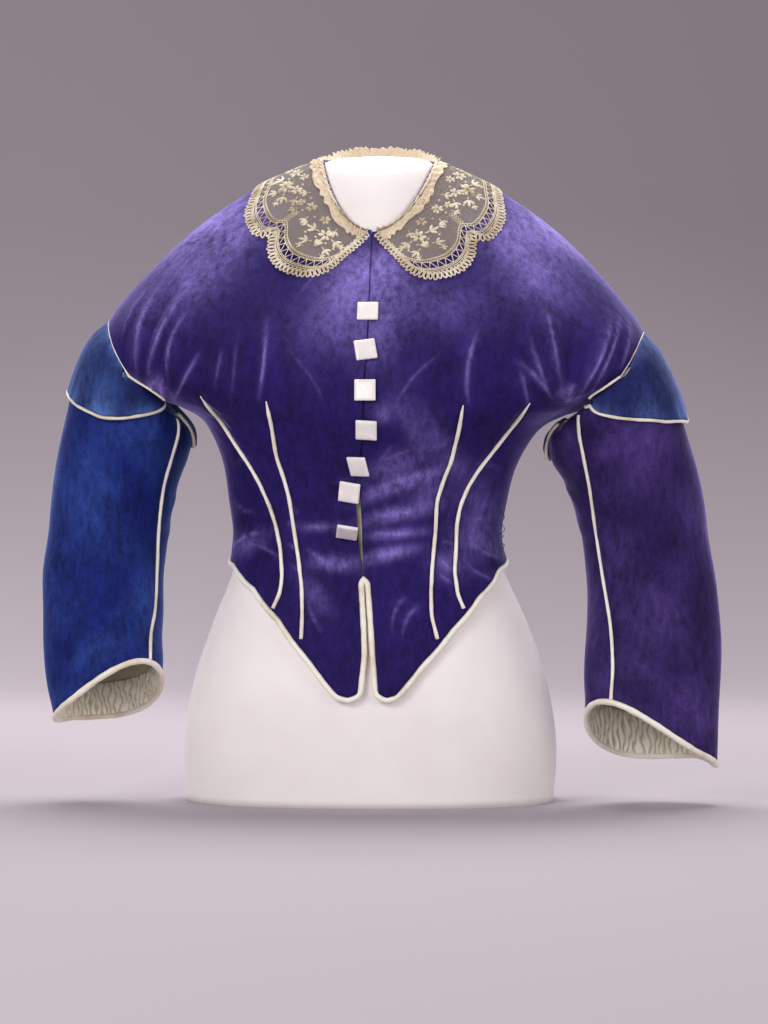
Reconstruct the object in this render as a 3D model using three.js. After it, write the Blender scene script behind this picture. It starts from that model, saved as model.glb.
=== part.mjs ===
// A fitted velvet day bodice, worn by a limbless dress form.
// Millimetres, +Z up, front towards -Y, the wearer's left towards +X, base of the form at z = 0.
// "turn" is the angle round the body: 0 at the front, 90 at the wearer's left side, 180 at the back.
// "row" is a place between two rows of the BODY table, which may be a fraction.
import * as THREE from "three";

const VELVET_WALL = 2; // velvet with its interlining and cotton lining
const SEAM_GAP = 0.3; // space left between neighbouring pieces
const REST_GAP = 0.5; // space left under what lies on a panel
const FORM_CLEARANCE = 3.5; // from the cloth's inside to the dress form
const WAIST = 237; // height of the waist
const LEAN = 0.0227; // slope to the wearer's left above the waist
const HEM_CORD = 2.5; // radii of the piping cords
const CUFF_CORD = 2.7;
const DART_CORD = 1.7;
const SLEEVE_CORD = 1.5;
const CAP_CORD = 1.5;
const ARMHOLE_CORD = 1.0;
const CORD_SIDES = 5;
const LACE_WALL = 1;
const SILK_WALL = 1;
const BUTTON_SIDE = 18.5;
const BUTTON_THICKNESS = 3.2;
const BUTTON_LIFT = 0.7;

const VELVET_PURPLE = 0x35206f;
const VELVET_BLUE = 0x20307c;
const IVORY = 0xf1ead8;
const LACE_CREAM = 0xd8cba6;
const PEARL = 0xe9e6e4;
const FORM_WHITE = 0xf6f0ee;

/** Columns of a short table by name: a line of names, then one line for each row. */
function table(text) {
  const lines = text.trim().split("\n");
  const [names, ...rows] = lines.map((line) => line.trim().split(/\s+/));
  return Object.fromEntries(names.map((name, k) => [name, rows.map((row) => Number(row[k]))]));
}

// Sections of the worn body from the base to the neck edge: heights at the side, front and back,
// half width, y at the side, front and back, how square the section is (2 is an ellipse), and how
// far its middle stands off to the left.
const BODY = table(`
  side front back width ySide yFront yBack square middle
  0    0     0    168   5     -108   122   2.2    0
  50   50    50   171   5     -114   124   2.2    0
  105  105   105  163   4     -118   120   2.2    0
  160  160   160  145   2     -108   108   2.15   0
  205  205   205  126   -2    -97    92    2.1    -1
  237  237   237  119   -4    -93    86    2.1    -2
  270  268   270  123   -4    -98    90    2.1    -2.5
  300  296   300  129   -3    -107   97    2.1    -2
  325  318   325  140   0     -117   102   2.15   -1
  341  331   341  152   3     -123   105   2.2    0
  351  341   353  170   6     -127   107   2.2    0
  360  351   368  194   8     -128   109   2.2    0
  388  371   397  243   10    -128   111   2.2    0
  425  397   431  240   12    -122   111   2.3    0
  470  424   472  205   13    -108   107   2.3    0
  513  450   514  161   13    -91    98    2.2    0
  547  474   547  112   12    -74    88    2.1    0
  563  490   567  80    11    -61    79    2.0    0
  575  507   584  49    11    -48    70    2.0    0
`);
const WAIST_ROW = 5;
const NECK_ROW = BODY.side.length - 1;

// The dropped armhole cut: half breadth of the body panels at each height.
const ARMHOLE = table(`
  height x
  345    179
  357    190
  364    198
  376    211
  389    220
  402    228
  415    234
  440    243
`);
const ARMHOLE_DROP = { [-1]: 0, [1]: 5 }; // the wearer's left armhole sits lower

// The closure down the middle of the front: its x, and how far each edge stands back from it.
const CLOSURE = table(`
  height x  stand
  86     7  10.5
  112    7  8.3
  135    7  6.2
  199.3  3  5.6
  203.5  2  0.15
  220    1  1.0
  245    0  2.0
  268    -1 2.0
  292    -1 0.15
  420    2  0.15
  507    -1 0.15
`);

// Hem heights of the fronts, by the share of the way from the closure to the side seam, and of the
// back, by the turn.
const FRONT_HEM = table(`
  share right left
  0     101.5 101.5
  0.022 98    98
  0.05  100.5 100.5
  0.14  128   126
  0.29  166   158.5
  0.46  192.5 185
  0.71  213   209.5
  1     219.5 219.5
`);
const BACK_HEM = table(`
  turn height
  97.4 219.5
  120  217
  150  210
  180  200
`);

// The two piped darts of each front: distance from the closure at each height.
const DARTS = {
  inner: table(`
    height right left
    353    84    86
    305    73    78
    288    66    72
    270    60.5  67
    242    57.5  64.5
    215    55    60.5
    191    55    56.5
    168    56    55.5
    148    58    59.5
  `),
  outer: table(`
    height right left
    355    144   142.5
    339    133   132
    318    116   116
    298    99    101.5
    282    88    92.5
    264    79    86
    248    74    82.5
    228    71    81
    205    71    78
    187    75    78.5
    174    82    83
  `),
};

// Soft ridges gathered into the armpits: a line in breadth and height, how far it stands and spreads.
const ARMPIT_FOLDS = table(`
  x0  z0  x1  z1  lift spread
  180 376 190 450 3.5  6
  177 372 168 445 4.0  7
  172 366 150 424 4.0  7
  168 362 134 402 3.0  7
  164 357 130 376 2.5  6
`);

// Rings of each sleeve below its armhole: centre, half width and half depth, then the tilts of the
// ring: across, front to back, and twisted. tip is the drop of the cuff's outer corner, and seam is
// the place of the front seam in degrees from the inner side.
const SLEEVES = {
  [-1]: table(`
    x    y   z   width depth rise dip twist tip seam
    -213 10  373 42    65    -66  0   0     0   -30
    -216 12  352 51    63    -48  0   0     0   -32
    -224 14  322 54    61    -30  0   0     0   -33
    -233 16  286 54.5  59    -9   0   0     0   -32
    -238 14  246 52.5  57    0    0   0     0   -28
    -242 7   208 52.5  54    4    2   0     0   -22
    -241 -5  166 52    50    10   10  0     0   -24
    -239 -19 131 50.5  47    24   24  -3    0   -29
    -233 -31 97  47    43    37   38  -6    2   -33
  `),
  [1]: table(`
    x   y   z   width depth rise dip twist tip seam
    215 9   363 45    69    -62  0   0     0   -60
    217 11  343 55    66    -46  0   0     0   -60
    224 14  317 58    61    -26  0   0     0   -58
    236 16  284 57.5  59    -6   0   0     0   -50
    245 14  246 55.5  57    0    0   0     0   -43
    252 7   202 55.5  54    4    2   0     0   -42
    255 -5  156 57.5  51    9    8   0     0   -49
    253 -20 107 58.5  47    22   20  -4    0   -55
    252 -32 61  56.5  44    36   36  -9    5   -53
  `),
};
const BACK_SEAM = 155; // degrees from the inner side
const CUFF_STEP = 9; // place of the cuff along a sleeve, in rings

// Lower edge of each sleeve cap, in rings below the armhole, round the arm from the inner side.
// It ends in front of the armpit, and a notch parts its two lobes at the outer arm.
const CAPS = {
  [-1]: table(`
    angle edge
    -22   0.7
    -10   1.8
    2     2.4
    20    2.4
    60    2.45
    110   2.5
    148   2.35
    160   2.25
    164   1.6
    171   1.6
    175   2.2
    190   2.2
    225   2.4
    255   2.45
    272   2.25
    290   1.8
    306   1.15
    322   0.45
  `),
  [1]: table(`
    angle edge
    -26   0.9
    -12   2.2
    0     2.7
    20    2.7
    60    2.6
    110   2.5
    150   2.6
    167   2.75
    171   2.1
    178   2.1
    182   2.75
    200   2.7
    225   2.6
    250   2.3
    266   2.0
    279   1.55
    286   1.15
    292   0.5
  `),
};

// Outer edge of the collar: where a line from the neck edge meets it, in degrees and rows.
const COLLAR = table(`
  neck edge row
  4.5  5    17.7
  7    10   17.1
  10   13.5 16.4
  13   14.5 15.9
  17   16   15.45
  23   20   15.2
  31   26   15.15
  39   32   15.2
  47   38.5 15.38
  54   45.5 15.66
  60   50   15.52
  68   57   15.55
  76   65   15.65
  84   74   15.86
  93   84   16.02
  103  95   16.2
  112  105  15.95
  124  120  15.8
  136  134  15.8
  146  146  15.95
  156  156  15.65
  168  168  15.5
  180  180  15.48
`);

// Buttons from the top: centre in breadth and height, and their turns in the plane and about
// the upright and cross axes, in degrees.
const BUTTONS = table(`
  x    z     spin swing nod
  5.8  432   0    0     0
  5.4  398   10   6     0
  5.4  364.5 0    0     0
  6.1  332   -2   -4    4
  0    302   12   -24   8
  -7.7 277.5 -8   -6    3
  -9.7 242   -10  -4    50
`);

/** Catmull-Rom curve between p1 and p2. */
function catmullRom(p0, p1, p2, p3, f) {
  const bend = (2 * p0 - 5 * p1 + 4 * p2 - p3) * f * f + (3 * p1 - p0 - 3 * p2 + p3) * f ** 3;
  return 0.5 * (2 * p1 + (p2 - p0) * f + bend);
}

/** The same curve through a column's values, one knot a row. */
function spline(column, at) {
  const last = column.length - 1;
  const t = Math.min(Math.max(at, 0), last);
  const i = Math.min(Math.floor(t), last - 1);
  const p1 = column[i];
  const p2 = column[i + 1];
  const p0 = i > 0 ? column[i - 1] : 2 * p1 - p2;
  const p3 = i < last - 1 ? column[i + 2] : 2 * p2 - p1;
  return catmullRom(p0, p1, p2, p3, t - i);
}

/** Straight lines through the points (xs, ys), where xs rises or falls throughout. */
function lines(xs, ys, x) {
  const rising = xs[xs.length - 1] > xs[0];
  const passed = (k) => (rising ? x >= xs[k] : x <= xs[k]);
  let k = 0;
  while (k < xs.length - 2 && passed(k + 1)) k += 1;
  const f = Math.min(Math.max((x - xs[k]) / (xs[k + 1] - xs[k]), 0), 1);
  return ys[k] + (ys[k + 1] - ys[k]) * f;
}

/** Where a function crosses zero between two places, by halving. */
function crossing(f, from, to) {
  let low = from;
  let high = to;
  const sign = Math.sign(f(low));
  for (let step = 0; step < 40; step += 1) {
    const middle = (low + high) / 2;
    if (Math.sign(f(middle)) === sign) low = middle;
    else high = middle;
  }
  return (low + high) / 2;
}

const radians = THREE.MathUtils.degToRad;
const smooth = THREE.MathUtils.smoothstep;
const range = (count, f) => Array.from({ length: count }, (_, k) => f(k));
const power = (value, exponent) => Math.sign(value) * Math.abs(value) ** exponent;
const sideName = (side) => (side > 0 ? "left" : "right");
const moved = (point, direction, distance) => point.clone().addScaledVector(direction, distance);

/** The body before it leans: a superellipse at each row, lower in front than at the sides. */
function uprightBody(turn, row) {
  const at = (name) => spline(BODY[name], row);
  const exponent = 2 / at("square");
  const front = Math.cos(turn) > 0;
  const depth = front ? at("ySide") - at("yFront") : at("yBack") - at("ySide");
  const drop = (front ? at("front") : at("back")) - at("side");
  return new THREE.Vector3(
    at("width") * power(Math.sin(turn), exponent),
    at("ySide") - depth * power(Math.cos(turn), exponent),
    at("side") + drop * Math.abs(Math.cos(turn)) ** 1.6,
  );
}

/** Inside surface of the bodice: the body sheared to the wearer's left above the waist. */
function body(turn, row) {
  const point = uprightBody(turn, row);
  const above = Math.max(point.z - WAIST, 0);
  const tilted = smooth(above, 0, 60);
  return new THREE.Vector3(
    point.x + LEAN * above + spline(BODY.middle, row),
    point.y,
    point.z - LEAN * point.x * tilted,
  );
}

/** Unit normal of a surface, along the cross product of its two directions. */
function normalOf(surface, u, v, uStep, vStep, vLow, vHigh) {
  const across = surface(u + uStep, v).sub(surface(u - uStep, v));
  const vUp = Math.min(v + vStep, vHigh);
  const vDown = Math.max(v - vStep, vLow);
  const along = surface(u, vUp).sub(surface(u, vDown));
  return across.cross(along).normalize();
}
const bodyNormal = (turn, row) => normalOf(body, turn, row, 0.02, 0.06, 0, NECK_ROW);

/** The angle round the body at a distance from its middle line. */
function turnAt(x, row) {
  const share = Math.min(Math.abs(x) / spline(BODY.width, row), 1);
  return Math.sign(x) * Math.asin(share ** (spline(BODY.square, row) / 2));
}

/** The row at a height, below the waist. */
const rowAt = (height) => crossing((row) => spline(BODY.side, row) - height, 0, WAIST_ROW + 0.5);

// ---- Armholes -------------------------------------------------------------------------------

/** How far a point of the body lies outside the armhole cut. */
function pastCut(turn, row, side) {
  const point = uprightBody(turn, row);
  return point.x - lines(ARMHOLE.height, ARMHOLE.x, point.z + ARMHOLE_DROP[side]);
}

const SIDE = Math.PI / 2;
const ARMHOLE_ROWS = {};
for (const side of [-1, 1]) {
  const bottom = crossing((row) => pastCut(SIDE, row, side), 10, 12);
  const top = crossing((row) => pastCut(SIDE, row, side), 12, 14.5);
  ARMHOLE_ROWS[side] = { bottom, top };
}

/** Place on the armhole: angle 0 at the bottom, 90 at the back, 180 at the top, 270 in front. */
function armholePlace(angle, side) {
  const { bottom, top } = ARMHOLE_ROWS[side];
  const row = (bottom + top) / 2 - ((top - bottom) / 2) * Math.cos(angle);
  const past = (turn) => pastCut(turn, row, side);
  const lateral = Math.abs(Math.sin(angle)) < 1e-4;
  const away = Math.sin(angle) > 0 ? Math.PI - 0.3 : 0.3;
  return { turn: lateral ? SIDE : crossing(past, SIDE, away), row };
}

/** Point of the armhole edge, with the outward normal and the direction away from the panels. */
function armholeEdge(angle, side) {
  const pointAt = (a) => {
    const place = armholePlace(a, side);
    return body(side * place.turn, place.row);
  };
  const { turn, row } = armholePlace(angle, side);
  const normal = bodyNormal(side * turn, row);
  const tangent = pointAt(angle + 0.06).sub(pointAt(angle - 0.06)).normalize();
  const away = tangent.clone().cross(normal).normalize();
  const middle = body(side * SIDE, (ARMHOLE_ROWS[side].bottom + ARMHOLE_ROWS[side].top) / 2);
  const point = pointAt(angle);
  if (away.dot(middle.sub(point)) < 0) away.negate();
  return { point, normal, away };
}

// ---- Closed solids --------------------------------------------------------------------------

/** A geometry from points and faces, turned so that its faces point out. */
function solid(points, faces) {
  const volume = faces.reduce((sum, [a, b, c]) => {
    return sum + points[a].dot(points[b].clone().cross(points[c]));
  }, 0);
  const index = volume > 0 ? faces.flat() : faces.flatMap(([a, b, c]) => [a, c, b]);
  const geometry = new THREE.BufferGeometry().setFromPoints(points);
  geometry.setIndex(index);
  geometry.computeVertexNormals();
  return geometry;
}

/** A closed wall between two grids of points; open(i, j) names the cells that are cut away. */
function wall({ inner, outer }, { round = false, open = () => false } = {}) {
  const rows = inner.length;
  const columns = inner[0].length;
  const points = [...inner.flat(), ...outer.flat()];
  const id = (layer, i, j) => (layer * rows + i) * columns + (j % columns);
  const inside = (i, j) => i >= 0 && i < rows - 1 && (round || (j >= 0 && j < columns - 1));
  const filled = (i, j) => inside(i, j) && !open(i, (j + columns) % columns);
  const faces = [];
  const quad = (a, b, c, d) => faces.push([a, b, c], [a, c, d]);
  const rim = (from, to) => quad(id(1, ...to), id(1, ...from), id(0, ...from), id(0, ...to));
  for (let i = 0; i < rows - 1; i += 1) {
    for (let j = 0; j < (round ? columns : columns - 1); j += 1) {
      if (!filled(i, j)) continue;
      quad(id(1, i, j), id(1, i, j + 1), id(1, i + 1, j + 1), id(1, i + 1, j));
      quad(id(0, i, j), id(0, i + 1, j), id(0, i + 1, j + 1), id(0, i, j + 1));
      if (!filled(i - 1, j)) rim([i, j], [i, j + 1]);
      if (!filled(i, j + 1)) rim([i, j + 1], [i + 1, j + 1]);
      if (!filled(i + 1, j)) rim([i + 1, j + 1], [i + 1, j]);
      if (!filled(i, j - 1)) rim([i + 1, j], [i, j]);
    }
  }
  return solid(points, faces);
}

/** A cord along a line of { point, normal } places, closed into a ring if round. */
function cord(places, radius, { round = false } = {}) {
  const count = places.length;
  const near = (k) => places[round ? (k + count) % count : Math.min(Math.max(k, 0), count - 1)];
  const points = places.flatMap((place, k) => {
    const along = near(k + 1).point.clone().sub(near(k - 1).point).normalize();
    const across = along.clone().cross(place.normal).normalize();
    const up = across.clone().cross(along);
    return range(CORD_SIDES, (s) => {
      const angle = (2 * Math.PI * s) / CORD_SIDES + Math.PI / 2;
      return moved(moved(place.point, across, radius * Math.cos(angle)), up, radius * Math.sin(angle));
    });
  });
  const id = (k, s) => (k % count) * CORD_SIDES + (s % CORD_SIDES);
  const faces = [];
  for (let k = 0; k < (round ? count : count - 1); k += 1) {
    for (let s = 0; s < CORD_SIDES; s += 1) {
      faces.push([id(k, s), id(k, s + 1), id(k + 1, s + 1)], [id(k, s), id(k + 1, s + 1), id(k + 1, s)]);
    }
  }
  if (!round) {
    for (let s = 1; s < CORD_SIDES - 1; s += 1) {
      faces.push([id(0, 0), id(0, s + 1), id(0, s)]);
      faces.push([id(count - 1, 0), id(count - 1, s), id(count - 1, s + 1)]);
    }
  }
  return solid(points, faces);
}

const bodice = new THREE.Group();

/** Adds one named piece of the bodice. */
function add(name, geometry, colour, roughness) {
  const material = new THREE.MeshStandardMaterial({ color: colour, roughness, metalness: 0 });
  const mesh = new THREE.Mesh(geometry, material);
  mesh.name = name;
  bodice.add(mesh);
}

// ---- Body panels ----------------------------------------------------------------------------

const ARMHOLE_STEPS = 8;
const armholeAngles = range(ARMHOLE_STEPS + 1, (k) => (Math.PI * k) / ARMHOLE_STEPS);
const LOWER_ROWS = [WAIST_ROW, 5.5, 6.1, 6.9, 7.8, 8.7, 9.5, 10.2];
const UPPER_ROWS = [14, 15, 15.8, 16.5, 17.2, NECK_ROW];

/** The rows of panels above the waist; a row comes at each step of the armhole. */
function rowsAboveWaist(side) {
  const loop = armholeAngles.map((angle) => armholePlace(angle, side).row);
  const upper = UPPER_ROWS.map((row, k) => (k === 0 ? Math.max(row, loop[ARMHOLE_STEPS] + 0.35) : row));
  return [...LOWER_ROWS, ...loop, ...upper];
}

/** The side seam below the armhole and the shoulder seam above it: the turn where they lie. */
function seamTurn(row, side) {
  const { bottom, top } = ARMHOLE_ROWS[side];
  if (row <= bottom) return SIDE + 0.13 * smooth(bottom - row, 0, bottom - 4);
  return SIDE + 0.3 * smooth(row, top, NECK_ROW);
}

/** The armhole's turn at a row, in front of the arm or behind it. */
function armholeTurn(row, side, behind) {
  const { bottom, top } = ARMHOLE_ROWS[side];
  const share = (row - (bottom + top) / 2) / ((top - bottom) / 2);
  const angle = Math.acos(Math.min(Math.max(-share, -1), 1));
  return armholePlace(behind ? angle : 2 * Math.PI - angle, side).turn;
}

/** Is this row beside the armhole? */
function besideArm(row, side) {
  const { bottom, top } = ARMHOLE_ROWS[side];
  return row > bottom + 1e-6 && row < top - 1e-6;
}

/** The angle that half a seam gap makes. */
function gapTurn(turn, row) {
  return SEAM_GAP / 2 / (body(turn + 0.01, row).distanceTo(body(turn - 0.01, row)) / 0.02);
}

/** Height of the folds that gather into the armpit. */
function foldLift(turn, row, side) {
  if (Math.cos(turn) <= 0) return 0;
  const point = uprightBody(turn, row);
  const limit = besideArm(row, side) ? armholeTurn(row, side, false) : seamTurn(row, side);
  const breadth = spline(BODY.width, row);
  const fade = smooth((limit - Math.abs(turn)) * breadth, 0, 16);
  const { x0, z0, x1, z1, lift, spread } = ARMPIT_FOLDS;
  const heights = x0.map((_, k) => {
    const along = new THREE.Vector2(x1[k] - x0[k], z1[k] - z0[k]);
    const from = new THREE.Vector2(Math.abs(point.x) - x0[k], point.z - z0[k]);
    const share = from.dot(along) / along.lengthSq();
    if (share <= 0 || share >= 1) return 0;
    const off = from.cross(along) / along.length() / spread[k];
    return lift[k] * Math.sin(Math.PI * share) * Math.exp(-off * off);
  });
  return fade * Math.max(...heights, 0);
}

/** Points of a panel from a grid of { turn, row } places: wall inside, outside and normals. */
function panel(places, side) {
  const made = places.map((line) => line.map(({ turn, row }) => {
    const lift = foldLift(turn, row, side);
    const normal = bodyNormal(turn, row);
    const base = body(turn, row);
    return {
      inner: moved(base, normal, lift),
      outer: moved(base, normal, lift + VELVET_WALL),
      normal,
    };
  }));
  const part = (name) => made.map((line) => line.map((cell) => cell[name]));
  return { inner: part("inner"), outer: part("outer"), normal: part("normal") };
}

const FRONT_SHARES = [0, 0.022, 0.05, 0.1, 0.17, 0.26, 0.36, 0.46, 0.56, 0.67, 0.77, 0.86, 0.94, 1];
const HEM_SHARES = [0, 0.18, 0.36, 0.54, 0.72, 0.755]; // rows from the hem towards the waist
const SLIT_ROWS = 4; // of them, above the corner, that the front slit reaches

/** The front's edge at the closure. */
function closureTurn(row, side) {
  const height = spline(BODY.front, row);
  const x = lines(CLOSURE.height, CLOSURE.x, height);
  const stand = lines(CLOSURE.height, CLOSURE.stand, height);
  return turnAt(x + side * stand, row);
}

/** Place on a front at a row, by its share of the way from the closure to the side. */
function frontPlace(share, row, side) {
  const start = closureTurn(row, side);
  const edge = besideArm(row, side) ? armholeTurn(row, side, false) : seamTurn(row, side);
  const inset = besideArm(row, side) ? 0 : gapTurn(edge, row);
  return { turn: start + (side * (edge - inset) - start) * share, row };
}

function frontPanel(side) {
  const below = HEM_SHARES.map((up) => FRONT_SHARES.map((share) => {
    const hem = lines(FRONT_HEM.share, FRONT_HEM[sideName(side)], share);
    return frontPlace(share, rowAt(hem + (WAIST - hem) * up), side);
  }));
  const above = rowsAboveWaist(side).map((row) => {
    return FRONT_SHARES.map((share) => frontPlace(share, row, side));
  });
  const places = [...below, ...above];
  return { ...panel(places, side), places };
}

// The back seam leaves the middle of the back at the hem and curves out to the armhole.
const BACK_SEAM_OFF = 0.3; // radians from the middle of the back, at the waist
const BACK_SEAM_STEP = 4; // step of the armhole where it ends
const BACK_STEPS = 3;
const BACK_SHARES = [-1, -0.8, -0.6, -0.4, -0.2, 0, 0.2, 0.4, 0.6, 0.8, 1];
const SIDE_BACK_SHARES = [0, 0.2, 0.4, 0.6, 0.8, 1];

/** Turn of the seam between the back and a side back. */
function backSeamTurn(row, side) {
  const end = armholePlace(armholeAngles[BACK_SEAM_STEP], side);
  const share = Math.min(Math.max((row - WAIST_ROW) / (end.row - WAIST_ROW), 0), 1);
  const start = Math.PI - BACK_SEAM_OFF;
  return start + (end.turn - start) * share ** 1.7;
}

/** Edge of the back at a row: the back seam, the armhole or the shoulder seam. */
function backEdge(row, side) {
  if (row < armholePlace(armholeAngles[BACK_SEAM_STEP], side).row - 1e-6) {
    const turn = backSeamTurn(row, side);
    return turn + gapTurn(turn, row);
  }
  if (besideArm(row, side)) return armholeTurn(row, side, true);
  const turn = seamTurn(row, side);
  return turn + gapTurn(turn, row);
}

/** Row of the back's hem at a turn. */
const backHem = (turn) => lines(BACK_HEM.turn, BACK_HEM.height, THREE.MathUtils.radToDeg(turn));

/** Rows of the back panels for a side: one comes just under the end of the back seam. */
function backRows(side) {
  const rows = rowsAboveWaist(side);
  const end = armholePlace(armholeAngles[BACK_SEAM_STEP], side).row;
  const at = rows.findIndex((row) => row > end - 1e-6);
  return [...rows.slice(0, at), end - 0.1, ...rows.slice(at)];
}

function backPanel() {
  const rows = { [-1]: backRows(-1), [1]: backRows(1) };
  const below = range(BACK_STEPS, (k) => BACK_SHARES.map((share) => {
    const side = share < 0 ? -1 : 1;
    const edge = Math.PI - backEdge(WAIST_ROW, side);
    const hem = backHem(Math.PI - edge * Math.abs(share));
    const row = rowAt(hem + ((WAIST - hem) * k) / BACK_STEPS);
    return { turn: Math.PI - edge * share, row };
  }));
  const above = range(rows[1].length, (k) => BACK_SHARES.map((share) => {
    const side = share < 0 ? -1 : 1;
    const middle = (rows[-1][k] + rows[1][k]) / 2;
    const row = middle + (rows[side][k] - middle) * Math.abs(share);
    const edge = Math.PI - backEdge(rows[side][k], side);
    return { turn: Math.PI - edge * share, row };
  }));
  return panel([...below, ...above], 1);
}

function sideBackPanel(side) {
  const rows = backRows(side);
  const end = armholePlace(armholeAngles[BACK_SEAM_STEP], side).row;
  const edges = (row) => {
    const from = besideArm(row, side) ? armholeTurn(row, side, true) : seamTurn(row, side);
    const to = backSeamTurn(row, side);
    return [besideArm(row, side) ? from : from + gapTurn(from, row), to - gapTurn(to, row)];
  };
  const place = (share, row) => {
    const [from, to] = edges(row);
    return { turn: side * (from + (to - from) * share), row };
  };
  const below = range(BACK_STEPS, (k) => SIDE_BACK_SHARES.map((share) => {
    const [from, to] = edges(WAIST_ROW);
    const hem = backHem(from + (to - from) * share);
    return place(share, rowAt(hem + ((WAIST - hem) * k) / BACK_STEPS));
  }));
  const above = rows.filter((row) => row < end - 0.05).map((row) => {
    return SIDE_BACK_SHARES.map((share) => place(share, row));
  });
  return panel([...below, ...above], side);
}

const fronts = { [-1]: frontPanel(-1), [1]: frontPanel(1) };
const sideBacks = { [-1]: sideBackPanel(-1), [1]: sideBackPanel(1) };
const back = backPanel();
for (const side of [-1, 1]) {
  add(`front_${sideName(side)}`, wall(fronts[side]), VELVET_PURPLE, 0.85);
  add(`side_back_${sideName(side)}`, wall(sideBacks[side]), VELVET_PURPLE, 0.85);
}
add("back", wall(back), VELVET_PURPLE, 0.85);


// ---- Cords along the panels' edges ----------------------------------------------------------

/** Middle of a panel's wall at a cell of its grid, with the cell inside it for direction. */
function edgePlace(grid, i, j, inI, inJ) {
  const middle = (a, b) => grid.inner[a][b].clone().lerp(grid.outer[a][b], 0.5);
  return { point: middle(i, j), normal: grid.normal[i][j], within: middle(inI, inJ) };
}

/** Places of a cord that lies beside an edge, its own radius and a seam gap away. */
function besideEdge(edge, radius, { round = false } = {}) {
  const count = edge.length;
  const near = (k) => edge[round ? (k + count) % count : Math.min(Math.max(k, 0), count - 1)];
  return edge.map(({ point, normal, within }, k) => {
    const along = near(k + 1).point.clone().sub(near(k - 1).point).normalize();
    const away = along.clone().cross(normal).normalize();
    if (away.dot(point.clone().sub(within)) < 0) away.negate();
    return { point: moved(point, away, radius + SEAM_GAP), normal };
  });
}

/** The hem's edge on one side, from the top of the front slit round to the middle of the back. */
function hemEdge(side) {
  const front = fronts[side];
  const sideBack = sideBacks[side];
  const slit = range(SLIT_ROWS, (k) => SLIT_ROWS - k);
  const last = FRONT_SHARES.length - 1;
  const half = (BACK_SHARES.length - 1) / 2;
  const fromSlit = slit.map((i) => edgePlace(front, i, 0, i, 1));
  const corner = edgePlace(front, 0, 0, 1, 1);
  const alongFront = range(last, (k) => edgePlace(front, 0, k + 1, 1, k + 1));
  const alongSide = range(SIDE_BACK_SHARES.length - 1, (k) => edgePlace(sideBack, 0, k + 1, 1, k + 1));
  const alongBack = range(half, (k) => {
    const j = half + side * (half - 1 - k);
    return edgePlace(back, 0, j, 1, j);
  });
  const end = alongBack[alongBack.length - 1];
  end.point.x = side * SEAM_GAP / 2;
  return [...fromSlit, corner, ...alongFront, ...alongSide, ...alongBack];
}

/** Fractional column of a front at a turn on one of its grid lines. */
function columnAt(front, i, turn) {
  const turns = front.places[i].map((place) => place.turn);
  let j = 0;
  while (j < turns.length - 2 && Math.abs(turns[j + 1]) < Math.abs(turn)) j += 1;
  return j + (turn - turns[j]) / (turns[j + 1] - turns[j]);
}

/** Places of a dart's cord on a front, one at each grid line and one at each end. */
function dartPlaces(side, dart) {
  const front = fronts[side];
  const top = dart.height[0];
  const bottom = dart.height[dart.height.length - 1];
  const found = [];
  for (let i = 0; i < front.places.length; i += 1) {
    let column = 0;
    let height = 0;
    for (let pass = 0; pass < 4; pass += 1) {
      const j = Math.floor(column);
      const cell = front.places[i][j];
      const next = front.places[i][j + 1];
      const row = cell.row + (next.row - cell.row) * (column - j);
      height = spline(BODY.front, row);
      const x = lines(dart.height, dart[sideName(side)], height);
      const middle = lines(CLOSURE.height, CLOSURE.x, height);
      column = columnAt(front, i, turnAt(middle + side * x, row));
    }
    const j = Math.floor(column);
    const outer = front.outer[i];
    const normal = front.normal[i][j].clone().lerp(front.normal[i][j + 1], column - j).normalize();
    const point = outer[j].clone().lerp(outer[j + 1], column - j);
    found.push({ point: moved(point, normal, DART_CORD + REST_GAP), normal, height });
  }
  const within = ({ height }) => height > bottom && height < top;
  const first = found.findIndex(within);
  const last = found.findLastIndex(within);
  const between = (a, b, height) => {
    const share = (height - a.height) / (b.height - a.height);
    return { point: a.point.clone().lerp(b.point, share), normal: a.normal };
  };
  const low = between(found[first], found[first - 1], bottom);
  const high = between(found[last], found[last + 1], top);
  return [low, ...found.slice(first, last + 1), high];
}

for (const side of [-1, 1]) {
  add(`hem_cord_${sideName(side)}`, cord(besideEdge(hemEdge(side), HEM_CORD), HEM_CORD), IVORY, 0.6);
  for (const name of ["inner", "outer"]) {
    const places = dartPlaces(side, DARTS[name]);
    add(`dart_cord_${name}_${sideName(side)}`, cord(places, DART_CORD), IVORY, 0.6);
  }
  const loop = range(2 * ARMHOLE_STEPS, (k) => armholeEdge((Math.PI * k) / ARMHOLE_STEPS, side));
  const places = loop.map(({ point, normal, away }) => ({
    point: moved(moved(point, normal, VELVET_WALL / 2), away, ARMHOLE_CORD + SEAM_GAP),
    normal,
  }));
  add(`armhole_cord_${sideName(side)}`, cord(places, ARMHOLE_CORD, { round: true }), IVORY, 0.6);
}

// A strip of lining stands behind the gape of the closure.
const FACING_HALF = 13;
const FACING_ROWS = [4.2, 4.7, 5.2, 5.8, 6.5, 7.2];
const facingGrid = (depth) => FACING_ROWS.map((row) => [-1, -0.5, 0, 0.5, 1].map((share) => {
  const middle = lines(CLOSURE.height, CLOSURE.x, spline(BODY.front, row));
  const turn = turnAt(middle + FACING_HALF * share, row);
  return moved(body(turn, row), bodyNormal(turn, row), -depth);
}));
const facing = { inner: facingGrid(REST_GAP + SILK_WALL), outer: facingGrid(REST_GAP) };
add("front_facing", wall(facing), 0xcfc8a8, 0.8);

// ---- Sleeves --------------------------------------------------------------------------------

const UNDERARM_STEP = 7; // how far the sleeve's seam stands off the panels where it folds back
const SLEEVE_START = 2 * ARMHOLE_CORD + 5 * SEAM_GAP;
const armholeCurve = {};

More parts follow.
